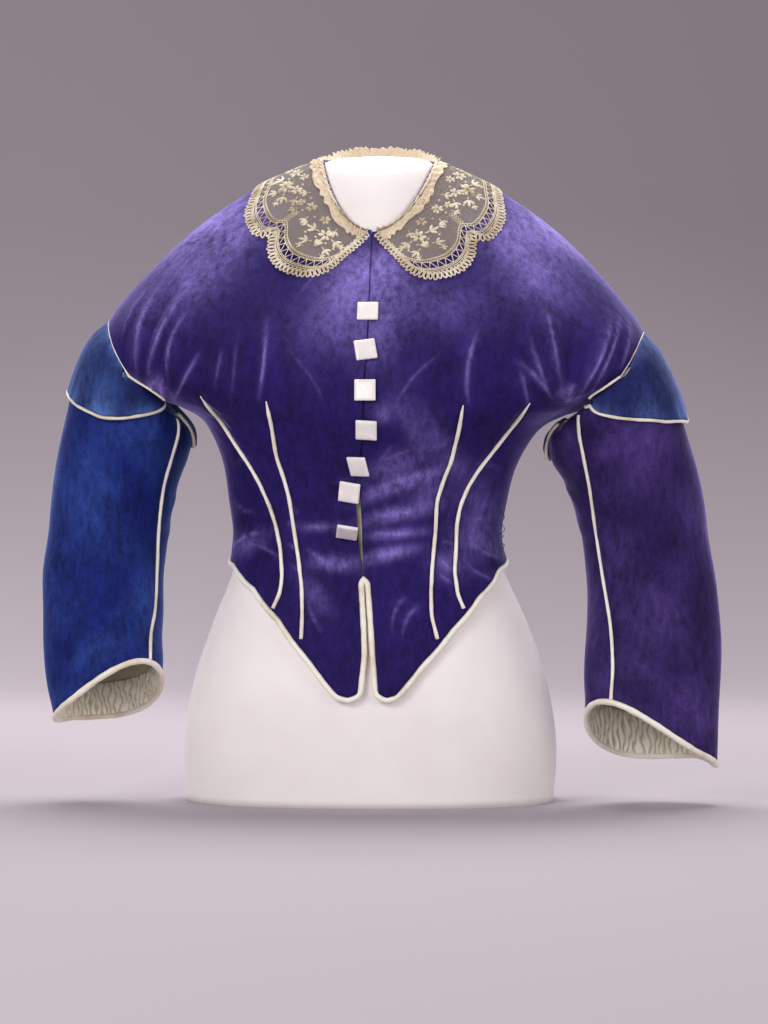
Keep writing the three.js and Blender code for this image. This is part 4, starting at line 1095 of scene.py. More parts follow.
# ---- The piping ----------------------------------------------------------------------------------
# Cotton cord covered with ivory silk satin cut on the bias, sewn in along the hem, the front slit, the
# darts, the armholes, the caps, the sleeves' front seams and the cuffs.

HEM_CORD = 2.5
DART_CORD = 1.7
ARMHOLE_CORD = 1.15
ARMHOLE_GAP = 1.0  # from the edge of the cloth to the middle of the armhole's piping
CORD_STEP = 1.6  # from ring to ring along a cord

# Silk satin on the bias: slanting pulls between the stitches every 3 mm, ivory gone yellow in places,
# with a soft silky gloss along the cord.
piping_satin, tree, surface = new_material(
    "ivory_silk_satin", Roughness=0.42, Specular_IOR_Level=0.45, Sheen_Weight=0.3, Sheen_Roughness=0.4
)
along = node(tree, "TexCoord").outputs["UV"]
PULLS = 3.0
pulls = node(tree, "TexWave",
             {"Scale": 1000 / PULLS / 20, "bands_direction": "DIAGONAL", "Distortion": 3.0, "Detail": 2.0,
              "Detail Scale": 1.5}, Vector=along)
place = node(tree, "TexCoord").outputs["Object"]
yellowed = node(tree, "TexNoise", {"Scale": 22.0, "Detail": 5.0, "Roughness": 0.65}, Vector=place)
stain = node(tree, "MapRange", {"From Min": 0.48, "From Max": 0.75}, Value=yellowed.outputs["Fac"])
tint = node(tree, "Mix", {"data_type": "RGBA"}, _0=stain.outputs[0],
            _6=linear("#f4eee1"), _7=linear("#cdbd98"))
wired(surface, Base_Color=tint.outputs[2])
slanted = node(tree, "Bump", {"Strength": 0.45, "Distance": 0.0005}, Height=pulls.outputs["Fac"])
wired(surface, Normal=slanted.outputs["Normal"])


def resampled(path, step, wrapped=False):
    """A path's points and the columns beside them, spaced evenly along its length."""
    closed = np.concatenate([path, path[:1]]) if wrapped else path
    distance = np.concatenate([[0], np.cumsum(np.linalg.norm(np.diff(closed[:, :3], axis=0), axis=1))])
    count = max(int(distance[-1] / step), 8)
    places = np.linspace(0, distance[-1], count + 1)[: count if wrapped else count + 1]
    return np.stack([np.interp(places, distance, column) for column in closed.T], -1)


def softened(path, passes, wrapped=False):
    """A path with each point drawn to the middle of its neighbours, some times over."""
    for _ in range(passes):
        if wrapped:
            path = (np.roll(path, 1, 0) + 2 * path + np.roll(path, -1, 0)) / 4
        else:
            path = np.concatenate([path[:1], (path[:-2] + 2 * path[1:-1] + path[2:]) / 4, path[-1:]])
    return path


def rings_round(point, along, normal, radii, sides):
    """Rings of points round a path: at each place a circle across the path's direction."""
    across = unit(np.cross(along, normal))
    up = np.cross(across, along)
    angle = np.linspace(0, 2 * pi, sides, endpoint=False)[None, :, None]
    circle = across[:, None] * np.cos(angle) + up[:, None] * np.sin(angle)
    return (point[:, None] + np.reshape(radii, (-1, 1, 1)) * circle).reshape(-1, 3)


def piping(node_name, name, path, radius, wrapped=False, seed=0, sides=12):
    """A covered cord along a path of points with normals in columns 3 to 5: a ring of points at each
    place, its radius wavering by a twelfth as hand covered piping does, closed at its ends or wrapped into
    a loop. radius is one value, or a value for each point of the path."""
    radii = np.broadcast_to(radius, len(path))
    path = resampled(np.concatenate([path, radii[:, None]], 1), CORD_STEP, wrapped)
    point, normal = path[:, :3], unit(path[:, 3:6])
    ahead = np.roll(point, -1, 0) - np.roll(point, 1, 0) if wrapped else np.gradient(point, axis=0)
    count = len(point)
    distance = np.arange(count) * CORD_STEP
    waver = 1 + 0.05 * np.sin(distance / 4.3 + seed) + 0.035 * np.sin(distance / 1.9 + 2 * seed)
    radii = path[:, 6] * waver
    points = rings_round(point, unit(ahead), normal, radii, sides)
    angle = np.linspace(0, 2 * pi, sides, endpoint=False)
    uv = np.stack(np.broadcast_arrays(distance[:, None] / 1000, angle * radii.mean() / 1000), -1).reshape(-1, 2)
    k, last = np.arange(sides), (count - 1) * sides
    if wrapped:
        join = np.stack([last + k, last + (k + 1) % sides, (k + 1) % sides, k], -1)
        faces = [np.concatenate([corners(count, sides, True), join])]
    else:
        foot, head = np.full(sides, count * sides), np.full(sides, count * sides + 1)
        ends = [np.stack([foot, (k + 1) % sides, k], -1), np.stack([head, last + k, last + (k + 1) % sides], -1)]
        points = np.concatenate([points, point[:1], point[-1:]])
        uv = np.concatenate([uv, uv[:1], uv[-1:]])
        faces = [corners(count, sides, True), np.concatenate(ends)]
    declared(add_mesh(name, points, faces, [piping_satin], uv), "piping", node_name)


def beside(edge, normal, within, distance):
    """A path beside an edge, in the plane of the cloth and away from a point within it."""
    along = unit(np.gradient(edge, axis=0))
    away = unit(np.cross(along, normal))
    away = away * np.sign(np.einsum("ij,ij->i", away, edge - within))[:, None]
    return np.concatenate([edge + away * distance, normal], 1)


def border(grid, edge, within):
    """Points halfway through a panel along its edge, their normals, and points a few places in."""
    middle = grid["base"] + grid["normal"] * VELVET_WALL / 2
    return middle[edge], grid["normal"][edge], middle[within]


SLIT_TOP = 24  # row of the fronts' grid where the front slit ends
for side in (-1, 1):
    middle = (back_grid["base"].shape[1] - 1) // 2
    columns = slice(2 * middle - 1, middle - 1, -1) if side > 0 else slice(1, middle + 1)
    parts = [
        border(fronts[side], np.s_[SLIT_TOP:0:-1, 0], np.s_[SLIT_TOP:0:-1, 6]),
        border(fronts[side], 0, 8),
        border(side_back_grids[side], np.s_[0, 1:], np.s_[6, 1:]),
        border(back_grid, np.s_[0, columns], np.s_[6, columns]),
    ]
    edge, normal, within = (np.concatenate(part) for part in zip(*parts))
    path = softened(resampled(beside(edge, normal, within, HEM_CORD + SEAM_GAP), CORD_STEP), 5)
    piping(f"hem_cord_{side_name[side]}", f"hem_piping_{side_name[side]}", path, HEM_CORD, seed=side)

DART_STAND = 0.5  # how far the middle of a dart's piping stands off the velvet
DART_TAPER = 12  # length over which it thins to a point at its top
for side in (-1, 1):
    for name, dart in DARTS.items():
        height = np.linspace(dart["height"][0], dart["height"][-1], 140)
        row = height_row(height, "front")
        middle = lines(CLOSURE["height"], CLOSURE["x"], height)
        out = np.interp(height, dart["height"][::-1], dart[side_name[side]][::-1])
        turn = turn_at(middle + side * out, row)
        normal = body_normal(turn, row)
        point = softened(body(turn, row), 12) + normal * (VELVET_WALL + DART_STAND)
        thin = smooth(dart["height"][0] - height, -3, DART_TAPER)
        path = np.concatenate([point, normal], 1)
        piping(f"dart_cord_{name}_{side_name[side]}", f"dart_piping_{name}_{side_name[side]}", path,
               DART_CORD * (0.25 + 0.75 * thin), seed=2 * side)


def armhole_edge(angle, side):
    """Points of an armhole's edge, with outward normals and the direction away from the panels. The angle
    is 0 at the bottom, a quarter turn at the back, a half at the top and three quarters in front."""
    bottom, top = ARMHOLE_ROWS[side]

    def edge(at):
        row = (bottom + top) / 2 - (top - bottom) / 2 * np.cos(at)
        behind = np.sin(at) > 0
        turn = np.where(behind, armhole_turn(row, side, True), armhole_turn(row, side, False))
        return np.where(np.abs(np.sin(at)) < 1e-3, SIDE, turn), row

    turn, row = edge(angle)
    point = body(side * turn, row)
    normal = body_normal(side * turn, row)
    ahead, behind = (body(side * t, r) for t, r in (edge(angle + 0.06), edge(angle - 0.06)))
    away = unit(np.cross(unit(ahead - behind), normal))
    middle = body(side * SIDE, (bottom + top) / 2)
    return point, normal, away * np.sign(np.sum(away * (middle - point), -1))[..., None]


PIPING_OUT = 3.5  # how far the seam turns the piping to the front and the back beside the armpit
UNDER_ARM_RISE = 2.2  # how far it stands out there

# Low on the front of each armhole the sleeve bulges over the seam, and the piping lies in the crease
# between the sleeve and the front, through these points at even steps of the seam's own depth.
CREASE_START = -58
CREASE_END = 2
CREASE = {
    -1: table("""
x      y     z
-209.2 -63   379.4
-202.1 -62   374.5
-194.1 -61   369.7
-186.2 -60   364.4
-178.2 -59   358.6
"""),
    1: table("""
x     y     z
225.8 -64   378.6
217.8 -68   372.9
210.8 -69   368.1
203.7 -68.5 363.7
197.5 -67   359.3
"""),
}
for side in (-1, 1):
    angle = np.linspace(0, 2 * pi, 240, endpoint=False)
    point, normal, away = armhole_edge(angle, side)
    under_arm = smooth(np.cos(angle), -0.1, 0.5)[:, None]
    turned_out = np.array([0, PIPING_OUT, 0]) * under_arm * power(np.sin(angle), 0.5)[:, None]
    raised = VELVET_WALL / 2 + UNDER_ARM_RISE * under_arm
    point = point + normal * raised + away * ARMHOLE_GAP + turned_out
    past_top = (np.degrees(angle) + 180) % 360 + 180  # so that it runs on through the bottom
    in_crease = smooth(past_top, 281, 290) * (1 - smooth(past_top, 362, 380))
    depth = np.clip((point[:, 1] - CREASE_START) / (CREASE_END - CREASE_START), 0, 1)
    depth = depth * (len(CREASE[side]["x"]) - 1)
    crease = np.stack([spline(column, depth) for column in CREASE[side].values()], -1)
    point = point + in_crease[:, None] * (crease - point)
    path = softened(np.concatenate([point, normal], 1), 4, True)
    piping(f"armhole_cord_{side_name[side]}", f"armhole_piping_{side_name[side]}", path, ARMHOLE_CORD,
           wrapped=True, seed=3 * side, sides=8)


# ---- The sleeves ---------------------------------------------------------------------------------
# Full sleeves of two pieces, sewn into the armholes and drawn in a little at the wrist. The right one
# is of a bluer velvet than the left. They crease at the armpits, the elbows and the cuffs.

UNDERARM_STEP = 3  # how far a sleeve's seam stands off the panels where it folds back
SLEEVE_START = 1.5  # from the panels' edge to the sleeve, which the piping covers
CUFF_STEP = 9
BACK_SEAM = 155

# Rings of each sleeve below its armhole: centre, half width and half depth, the tilts of the ring
# across, front to back and twisted, the drop of the outer corner, and the place of the front seam.
SLEEVES = {
    -1: table("""
x    y   z   width depth rise dip twist tip seam
-213 10  373 42    65    -66  0   0     0   -30
-216 12  352 51    63    -48  0   0     0   -32
-224 14  322 54    61    -30  0   0     0   -33
-233 16  286 54.5  59    -9   0   0     0   -32
-238 14  246 52.5  57    0    0   0     0   -28
-242 7   208 52.5  54    4    2   0     0   -22
-241 -5  166 52    50    10   10  0     0   -24
-239 -19 131 50.5  47    24   24  -3    0   -29
-233 -31 97  47    43    37   38  -6    2   -33
"""),
    1: table("""
x   y   z   width depth rise dip twist tip seam
215 9   363 45    69    -62  0   0     0   -60
217 11  343 55    66    -46  0   0     0   -60
224 14  317 58    61    -26  0   0     0   -58
236 16  284 57.5  59    -6   0   0     0   -50
245 14  246 55.5  57    0    0   0     0   -43
252 7   202 55.5  54    4    2   0     0   -42
255 -5  156 57.5  51    9    8   0     0   -49
253 -20 107 58.5  47    22   20  -4    0   -55
252 -32 61  56.5  44    36   36  -9    5   -53
"""),
}


def sleeve_ring(k, angle, side):
    """Ring k of a sleeve, from 1 to 9, at angles from the inner side: an ellipse with a flat tilt across
    and front to back, a saddle twist and a dropped outer corner."""
    ring = {name: column[k - 1] for name, column in SLEEVES[side].items()}
    corner = np.exp(-(((angle % (2 * pi) - 3.0) / 0.35) ** 2))
    tilt = (ring["rise"] * np.cos(angle) - ring["dip"] * np.sin(angle)) / 2
    return np.stack([
        ring["x"] - side * ring["width"] * np.cos(angle),
        ring["y"] + ring["depth"] * np.sin(angle),
        ring["z"] + tilt + ring["twist"] * np.sin(2 * angle) - ring["tip"] * corner,
    ], -1)


def folded_back(angle, side):
    """How far a sleeve folds back over the panels at an angle: 0 on top of the arm, 1 under it."""
    point, normal, away = armhole_edge(angle, side)
    leaving = unit(sleeve_ring(1, angle, side) - point)
    return smooth(0.85 - np.sum(leaving * away, -1), 0, 0.8)


RING_PLACES = 48
sleeve_starts = {}
for side in (-1, 1):
    angle = 2 * pi * np.arange(RING_PLACES) / RING_PLACES
    point, normal, away = armhole_edge(angle, side)
    step_out = (UNDERARM_STEP * folded_back(angle, side))[:, None]
    sleeve_starts[side] = point + away * SLEEVE_START + normal * step_out


def sleeve_point(angle, step, side):
    """Inside surface of a sleeve at angles and steps, smooth through its rings from 0 at the armhole to 9
    at the cuff."""
    angle, step = np.broadcast_arrays(np.asarray(angle, float), np.asarray(step, float))
    place = (angle / (2 * pi) % 1) * RING_PLACES
    low = np.floor(place).astype(int)
    starts = sleeve_starts[side]
    around = [starts[(low + k) % RING_PLACES] for k in (-1, 0, 1, 2)]
    rings = [catmull(*around, (place - low)[..., None])]
    rings += [sleeve_ring(k, angle, side) for k in range(1, CUFF_STEP + 1)]
    rings = [2 * rings[0] - rings[1], *rings, 2 * rings[-1] - rings[-2]]
    rings = np.stack(rings)
    i = np.clip(np.floor(step).astype(int), 0, CUFF_STEP - 1)

    def ring(k):
        return np.take_along_axis(rings, (i + k)[None, ..., None], 0)[0]

    return catmull(ring(0), ring(1), ring(2), ring(3), (step - i)[..., None])


def sleeve_normal(angle, step, side):
    """Outward normal of a sleeve."""
    low, high = np.maximum(step - 0.05, 0), np.minimum(step + 0.05, CUFF_STEP)
    down = sleeve_point(angle, high, side) - sleeve_point(angle, low, side)
    around = sleeve_point(angle + 0.04, step, side) - sleeve_point(angle - 0.04, step, side)
    return side * unit(np.cross(around, down))


# Creases of each sleeve: from one place to another by the angle in degrees and the step, then how far
# they lift, how widely they spread in millimetres, and how much they bow.
SLEEVE_FOLDS = {
    -1: table("""
a0 s0 a1 s1 lift spread bow
-6 1.3 34 3.2 1.6 6 4
-2 0.6 14 2.4 1.8 5 3
-26 0.7 -30 2.6 1.4 6 -4
-40 0.6 -58 2.8 1.2 7 -6
-66 3.2 -40 4.6 0.9 8 6
-96 2.8 -58 3.6 0.8 7 5
-140 3.4 -70 4.4 0.7 9 6
20 4.2 -20 4.9 1.3 6 -5
24 4.6 -16 5.4 1.1 5.5 5
-12 5.1 -48 4.6 0.8 6 4
-60 5.2 -110 5 0.8 8 -4
-70 6.2 -120 6.7 0.7 8 5
-36 6.8 -78 7.5 0.7 7 -4
-60 7.9 -140 8.3 0.8 7 4
-90 8.5 -150 8.6 0.6 5 -2
180 3.2 178 5.2 0.8 12 6
200 5.6 196 7.8 0.8 12 -6
30 1.2 60 2.6 1.6 7 4
60 2.8 110 3.4 1.2 8 -5
40 4.4 100 4.8 1.2 7 5
50 5 120 5.2 1 7 -4
130 6 90 7 0.8 9 4
60 7.6 120 8.2 0.8 7 -3
150 3.6 120 4.6 0.8 9 5
"""),
    1: table("""
a0 s0 a1 s1 lift spread bow
-4 1.2 30 3 1.7 6 4
-16 0.8 -22 2.7 1.6 5.5 -4
-44 0.7 -52 2.4 1.4 6 4
-60 2.9 -30 4.1 1.1 7 5
-90 2.9 -56 3.7 0.9 8 5
-120 3.3 -66 4 0.8 8 -6
18 3.9 -24 4.6 1.4 6 -5
22 4.4 -28 5.2 1.2 6 5
-20 5.2 -62 4.9 0.9 6 4
-64 5.4 -116 5.2 0.8 8 -4
-80 6.1 -128 6.8 0.8 8 5
-40 6.6 -90 7.4 0.8 8 -4
-66 7.8 -140 8.2 0.9 7 4
-100 8.4 -156 8.6 0.6 5 -2
182 3.3 178 5.1 0.8 12 6
200 5.4 194 7.6 0.8 12 -6
32 1.1 64 2.5 1.6 7 4
58 2.9 112 3.5 1.2 8 -5
44 4.2 104 4.7 1.2 7 5
52 5.1 118 5.3 1 7 -4
132 5.9 92 7.1 0.8 9 4
62 7.5 122 8.1 0.8 7 -3
148 3.5 118 4.7 0.8 9 5
"""),
}
STEP_LENGTH = 34.0  # about the length of a step along a sleeve
ARM_GIRTH = 345.0
ARM_RADIUS = 55.0


def sleeve_folds(angle, step, marks):
    """Sum of a sleeve's creases, each a ridge along a bowed line with shallow troughs beside it."""
    total = np.zeros(np.broadcast(angle, step).shape)
    for a0, s0, a1, s1, lift, spread, bow in zip(*marks.values()):
        x = ((np.degrees(angle) - a0 + 180) % 360 - 180) * ARM_GIRTH / 360
        z = (step - s0) * STEP_LENGTH
        dx, dz = (a1 - a0) * ARM_GIRTH / 360, (s1 - s0) * STEP_LENGTH
        length = np.hypot(dx, dz)
        along = (x * dx + z * dz) / length**2
        off = (x * dz - z * dx) / length - bow * 4 * along * (1 - along)
        ends = smooth(along, -0.1, 0.35) * smooth(1.1 - along, 0, 0.45)
        total += lift * ends * (np.exp(-((off / spread) ** 2)) - 0.45 * np.exp(-((off / spread / 2) ** 2)))
    return total


def rumple(angle, step, side):
    """The unevenness that soft cloth has between its creases, as a sum of slow waves."""
    x, z = angle * ARM_GIRTH / (2 * pi), step * STEP_LENGTH
    return (0.5 * np.sin(x / 23 + z / 31 + side) + 0.4 * np.sin(x / 14 - z / 19 + 2 * side)
            + 0.25 * np.sin(x / 9 + z / 47) * np.sin(z / 11 - side) + 0.2 * np.sin(z / 7.3 + x / 37))


def sleeve_lift(angle, step, side, from_seam):
    """How far a sleeve stands off its smooth shape: its creases and unevenness, faded at the armhole and
    the cuff, and pressed in beside its seams."""
    fade = smooth(step, 0.1, 0.9) * smooth(CUFF_STEP - step, 0.05, 0.5)
    lift = (sleeve_folds(angle, step, SLEEVE_FOLDS[side]) + rumple(angle, step, side)) * fade
    return lift - 0.9 * np.exp(-from_seam / 2.5) * smooth(step, 0.2, 0.8)


blue_velvet = velvet("blue_velvet", "#08104a", "#13267a", "#3d62b8", "#7896e0")
red_purple_velvet = velvet("purple_sleeve_velvet", "#190a38", "#2c1658", "#7158ac", "#b09ae6")
sleeve_velvet = {-1: blue_velvet, 1: red_purple_velvet}


def seam_angle(step, side):
    """The angle of a sleeve's front seam at a step."""
    return radians(spline(SLEEVES[side]["seam"], step - 1))


sleeves = {}
STEPS_ALONG = 161
for side in (-1, 1):
    step = np.linspace(0, CUFF_STEP, STEPS_ALONG)[:, None]
    front = seam_angle(step, side)
    behind = np.full(front.shape, radians(BACK_SEAM))
    for name, start, end, columns in (("under", front, behind, 97), ("upper", behind, front + 2 * pi, 113)):
        half_gap = SEAM_GAP / 2 / ARM_RADIUS
        share = np.linspace(0, 1, columns)
        angle = start + half_gap + (end - start - 2 * half_gap) * share
        grid_step = np.broadcast_to(step, angle.shape)
        base, normal = sleeve_point(angle, grid_step, side), sleeve_normal(angle, grid_step, side)
        from_seam = np.minimum(share, 1 - share) * (end - start) * ARM_RADIUS
        lift = sleeve_lift(angle, grid_step, side, from_seam)
        # The sleeves are drawn lighter where their creases stand out, a painted highlight, and in slow blotches
        # of the pile.
        crest_highlight = np.clip(lift + 0.5, 0, 3) / 3
        blotch = np.sin(angle * 2.6 + 1.7 * np.sin(grid_step * 0.9 + side)) * np.sin(grid_step * 1.3 + side)
        nap_and_highlight = np.clip(0.5 * crest_highlight + 0.075 * (1 + blotch), 0, 1)
        piece = cloth(f"velvet_{name}_sleeve_{side_name[side]}", base, normal, lift,
                      [sleeve_velvet[side], lining_cotton], lengths(base), {"pile_and_highlight": nap_and_highlight}, stride=2)
        declared(piece, "velvet_blue" if side < 0 else "velvet_purple", f"{name}_sleeve_{side_name[side]}",
                 flat=(0.22, 0.36), area=0.062, held="hung", rests_on=[form])
        sleeves[side, name] = piece

SLEEVE_CORD = 1.5
SLEEVE_CORD_STAND = 0.6  # from the velvet to its middle
SLEEVE_CORD_START = 1.2  # the step under the cap where it starts
CUFF_CORD = 2.7
for side in (-1, 1):
    step = np.linspace(SLEEVE_CORD_START, CUFF_STEP + 0.03, 200)
    angle = seam_angle(step, side)
    normal = sleeve_normal(angle, step, side)
    middle = sleeve_point(angle, step, side) + normal * (VELVET_WALL + SLEEVE_CORD_STAND)
    piping(f"sleeve_cord_{side_name[side]}", f"sleeve_piping_{side_name[side]}",
           np.concatenate([middle, normal], 1), SLEEVE_CORD, seed=4 * side)
    angle = np.linspace(0, 2 * pi, 220, endpoint=False)
    normal = sleeve_normal(angle, CUFF_STEP, side)
    edge = sleeve_point(angle, CUFF_STEP, side) + normal * VELVET_WALL / 2
    around = unit(np.roll(edge, -1, 0) - np.roll(edge, 1, 0))
    away = unit(np.cross(around, normal))
    away = away * np.sign(-away[:, 2:])
    path = np.concatenate([edge + away * (CUFF_CORD + SEAM_GAP), normal], 1)
    piping(f"cuff_cord_{side_name[side]}", f"cuff_piping_{side_name[side]}", path, CUFF_CORD,
           wrapped=True, seed=5 * side)


# ---- The cuff linings ----------------------------------------------------------------------------
# A band of ivory silk gathered into fine upright puffs lines each sleeve mouth; the rest of the sleeve
# is lined with plain cotton.

PUFFS = 62
LINING_GAP = 0.6
PUFF_DEPTH = 2.6
SILK_WALL = 0.8
LINING_TOP = 8.35  # step at which the band starts, up the sleeve
LINING_MIDDLE = 8.7
LINING_END = 9.09  # past the velvet's rim

silk, tree, surface = new_material("ivory_silk_taffeta", Roughness=0.45, Sheen_Weight=0.5, Sheen_Roughness=0.35)
place = node(tree, "TexCoord").outputs["Object"]
soiled = node(tree, "TexNoise", {"Scale": 45.0, "Detail": 5.0, "Roughness": 0.6}, Vector=place)
tint = node(tree, "Mix", {"data_type": "RGBA"}, _0=soiled.outputs["Fac"],
            _6=linear("#f0e8cf"), _7=linear("#fffcf2"))
# The hollows between the puffs are darkened to olive: painted shade.
painted_shade = node(tree, "Attribute", {"attribute_name": "painted_shade"}).outputs["Fac"]
shaded = node(tree, "Mix", {"data_type": "RGBA"}, _0=painted_shade, _6=tint.outputs[2], _7=linear("#a3945f"))
wired(surface, Base_Color=shaded.outputs[2])

for side in (-1, 1):
    step = np.linspace(LINING_TOP, LINING_END, 33)[:, None]
    angle = np.linspace(0, 2 * pi, PUFFS * 12 + 1)[None, :]
    # The puffs wander to the side and run into one another.
    wander = (angle * PUFFS + 1.3 * np.sin(3 * angle + side) + 0.8 * np.sin(7 * angle)
              + 4.5 * (step - LINING_MIDDLE) * np.sin(11 * angle) + 1.3 * np.sin(11 * step + 13 * angle)
              + 0.8 * np.sin(23 * step - 31 * angle))
    fullness = 0.5 - 0.5 * np.cos(wander)
    along = (step - LINING_TOP) / (LINING_END - LINING_TOP)
    drawn = np.sin(pi * np.clip(along, 0, 1)) ** 0.4
    uneven = 0.72 + 0.28 * np.sin(5 * angle + 9 * step) * np.sin(29 * angle - 7 * step + side)
    puffed = fullness**0.6 * drawn * uneven
    angle, within = np.broadcast_arrays(angle, np.minimum(step, CUFF_STEP))
    inwards = -sleeve_normal(angle, within, side)
    downwards = unit(sleeve_point(angle, CUFF_STEP, side) - sleeve_point(angle, CUFF_STEP - 0.1, side))
    past = np.maximum(step - CUFF_STEP, 0)[..., None] * STEP_LENGTH
    base = sleeve_point(angle, within, side) + inwards * (LINING_GAP - 0.5 * past) + downwards * past
    # Painted shade, strongest where the silk is least puffed.
    puff_shade = np.clip(0.7 - 1.9 * puffed, 0, 1)
    lining = cloth(f"silk_cuff_lining_{side_name[side]}", base, inwards, PUFF_DEPTH * puffed,
                   [silk, lining_cotton], lengths(base), {"painted_shade": puff_shade}, wall=SILK_WALL)
    declared(lining, "silk", f"cuff_lining_{side_name[side]}", flat=(0.41, 0.027), held="gathered",
             rests_on=[sleeves[side, "upper"], sleeves[side, "under"]])


# ---- The sleeve caps -----------------------------------------------------------------------------
# A second layer of the bluer velvet over the top of each sleeve, in two lobes that part at the outer
# arm, with the same piping round its edge.

CAP_CORD = 1.5
CAP_LIFT = 0.9
CAP_START = 0.5  # how far its upper edge, sewn into the armhole, stands off the sleeve
CAP_FLARE = 1.6
CAP_COLUMNS = 313

# Lower edge of each cap, in steps below the armhole, round the arm from the inner side.
CAPS = {
    -1: table("""
angle edge
-22   0.7
-10   1.8
2     2.4
20    2.4
60    2.45
110   2.5
148   2.35
160   2.25
164   1.6
171   1.6
175   2.2
190   2.2
225   2.4
255   2.45
272   2.25
290   1.8
306   1.15
322   0.45
"""),
    1: table("""
angle edge
-26   0.9
-12   2.2
0     2.7
20    2.7
60    2.6
110   2.5
150   2.6
167   2.75
171   2.1
178   2.1
182   2.75
200   2.7
225   2.6
250   2.3
266   2.0
279   1.55
286   1.15
292   0.5
"""),
}

# The line of the armhole seam in front, below its middle.
SEAM_LINE = table("""
height x
330    180
348    190
352    199.5
367    214.5
383    226
402    239
430    250
""")


def seam_step(angle, side):
    """The step at which a sleeve passes the line of the armhole seam, seen from the front; 0 elsewhere."""
    steps = np.linspace(0, 2.4, 97)[:, None]
    point = sleeve_point(angle[None, :], steps, side)
    within = side * point[..., 0] < lines(SEAM_LINE["height"], SEAM_LINE["x"], point[..., 2])
    return np.max(steps * within, 0) * smooth(np.degrees(angle), 240, 256)


# The two caps are of one lot; the wearer's left one is drawn lighter.
cap_velvet = {-1: velvet("dark_blue_velvet", "#080e3c", "#142262", "#5a7cc4", "#6a84cc"),
              1: velvet("lighter_blue_velvet", "#10153e", "#262f6e", "#5a72b8", "#8e9fdc")}
for side in (-1, 1):
    marks = CAPS[side]
    degrees = np.linspace(marks["angle"][0], marks["angle"][-1], CAP_COLUMNS)
    angle = np.radians(degrees)
    under = folded_back(angle, side)
    top = 0.03 + 0.8 * under * smooth(np.cos(angle), 0.6, 0.95)
    if side > 0:
        top = np.maximum(top, seam_step(angle, side))
    edge = np.interp(degrees, marks["angle"], marks["edge"])
    edge = np.convolve(np.pad(edge, 5, mode="edge"), np.ones(11) / 11, "valid")
    share = np.linspace(0, 1, 45)[:, None]
    step = top + np.maximum(edge - top, 0.03) * share
    angle = np.broadcast_to(angle, step.shape)
    flare = CAP_FLARE * (1 - 0.7 * under) * share + 0.6 * under
    lift = CAP_START + (VELVET_WALL + CAP_LIFT + flare - CAP_START) * smooth(share, 0, 0.25)
    normal = sleeve_normal(angle, step, side)
    base = sleeve_point(angle, step, side) + normal * lift[..., None]
    x, z = angle * ARM_GIRTH / (2 * pi), step * STEP_LENGTH
    gathers = np.sin(x / 2.6 + 1.5 * np.sin(x / 17))
    puckers = 0.35 * np.exp(-share * 9) * gathers + 0.5 * np.exp(-(1 - share) * 7) * gathers
    ripple = 0.5 * np.sin(x / 17 + z / 40 + side) * share + 0.25 * np.sin(x / 9 - z / 23)
    sheared = np.clip(ripple + puckers + 0.25, 0, 2)
    worn = np.exp(-(1 - share) * 5) * (0.55 + 0.45 * np.sin(x / 6 + side)) + 0.6 * np.exp(-share * 12)
    nap_and_highlight = np.clip(0.08 + 0.15 * np.sin(angle * 2.2 + side) * np.sin(share * 2.6) + 0.9 * worn, 0, 1)
    cap = cloth(f"velvet_sleeve_cap_{side_name[side]}", base, normal, sheared, [cap_velvet[side], lining_cotton],
                lengths(base), {"pile_and_highlight": nap_and_highlight})
    declared(cap, "velvet_blue", f"sleeve_cap_{side_name[side]}", flat=(0.36, 0.1), area=0.022, held="draped",
             rests_on=[sleeves[side, "upper"], sleeves[side, "under"]])
    outer_middle = base[-1] + normal[-1] * VELVET_WALL / 2
    inside = base[-6] + normal[-6] * VELVET_WALL / 2
    path = softened(beside(outer_middle, normal[-1], inside, CAP_CORD + SEAM_GAP), 3)
    piping(f"cap_cord_{side_name[side]}", f"cap_piping_{side_name[side]}", path, CAP_CORD, seed=6 * side)


# ---- The lace collar -----------------------------------------------------------------------------
# A flat collar of cream cotton bobbin lace, tacked to the neck edge: net with flower sprigs, arches of
# bars round each lobe, and an edge of close oval loops. It is made of real threads where they are thick
# enough to see, laid on the shape of the shoulders.

COLLAR_LIFT = 3.1  # from the inside of the velvet to the middle of the lace
TAPE = 10.0  # width of the edge of loops
BARS = 17.0  # from the outer edge to the inner arch
ARCH = 20.0  # from the outer edge to the net

# Outer edge of the collar: where a line from the neck edge meets it, in degrees and rows.
COLLAR = table("""
neck edge row
4.5 5 17.7
7 10 17.1
10 13.5 16.4
13 14.5 15.9
17 16 15.45
23 20 15.2
31 26 15.15
39 32 15.2
47 38.5 15.38
54 45.5 15.66
60 50 15.52
68 57 15.55
76 65 15.65
84 74 15.86
93 84 16.02
103 95 16.2
112 105 15.95
124 120 15.8
136 134 15.8
146 146 15.95
156 156 15.65
168 168 15.5
180 180 15.48
""")
KNOTS = len(COLLAR["neck"]) - 1

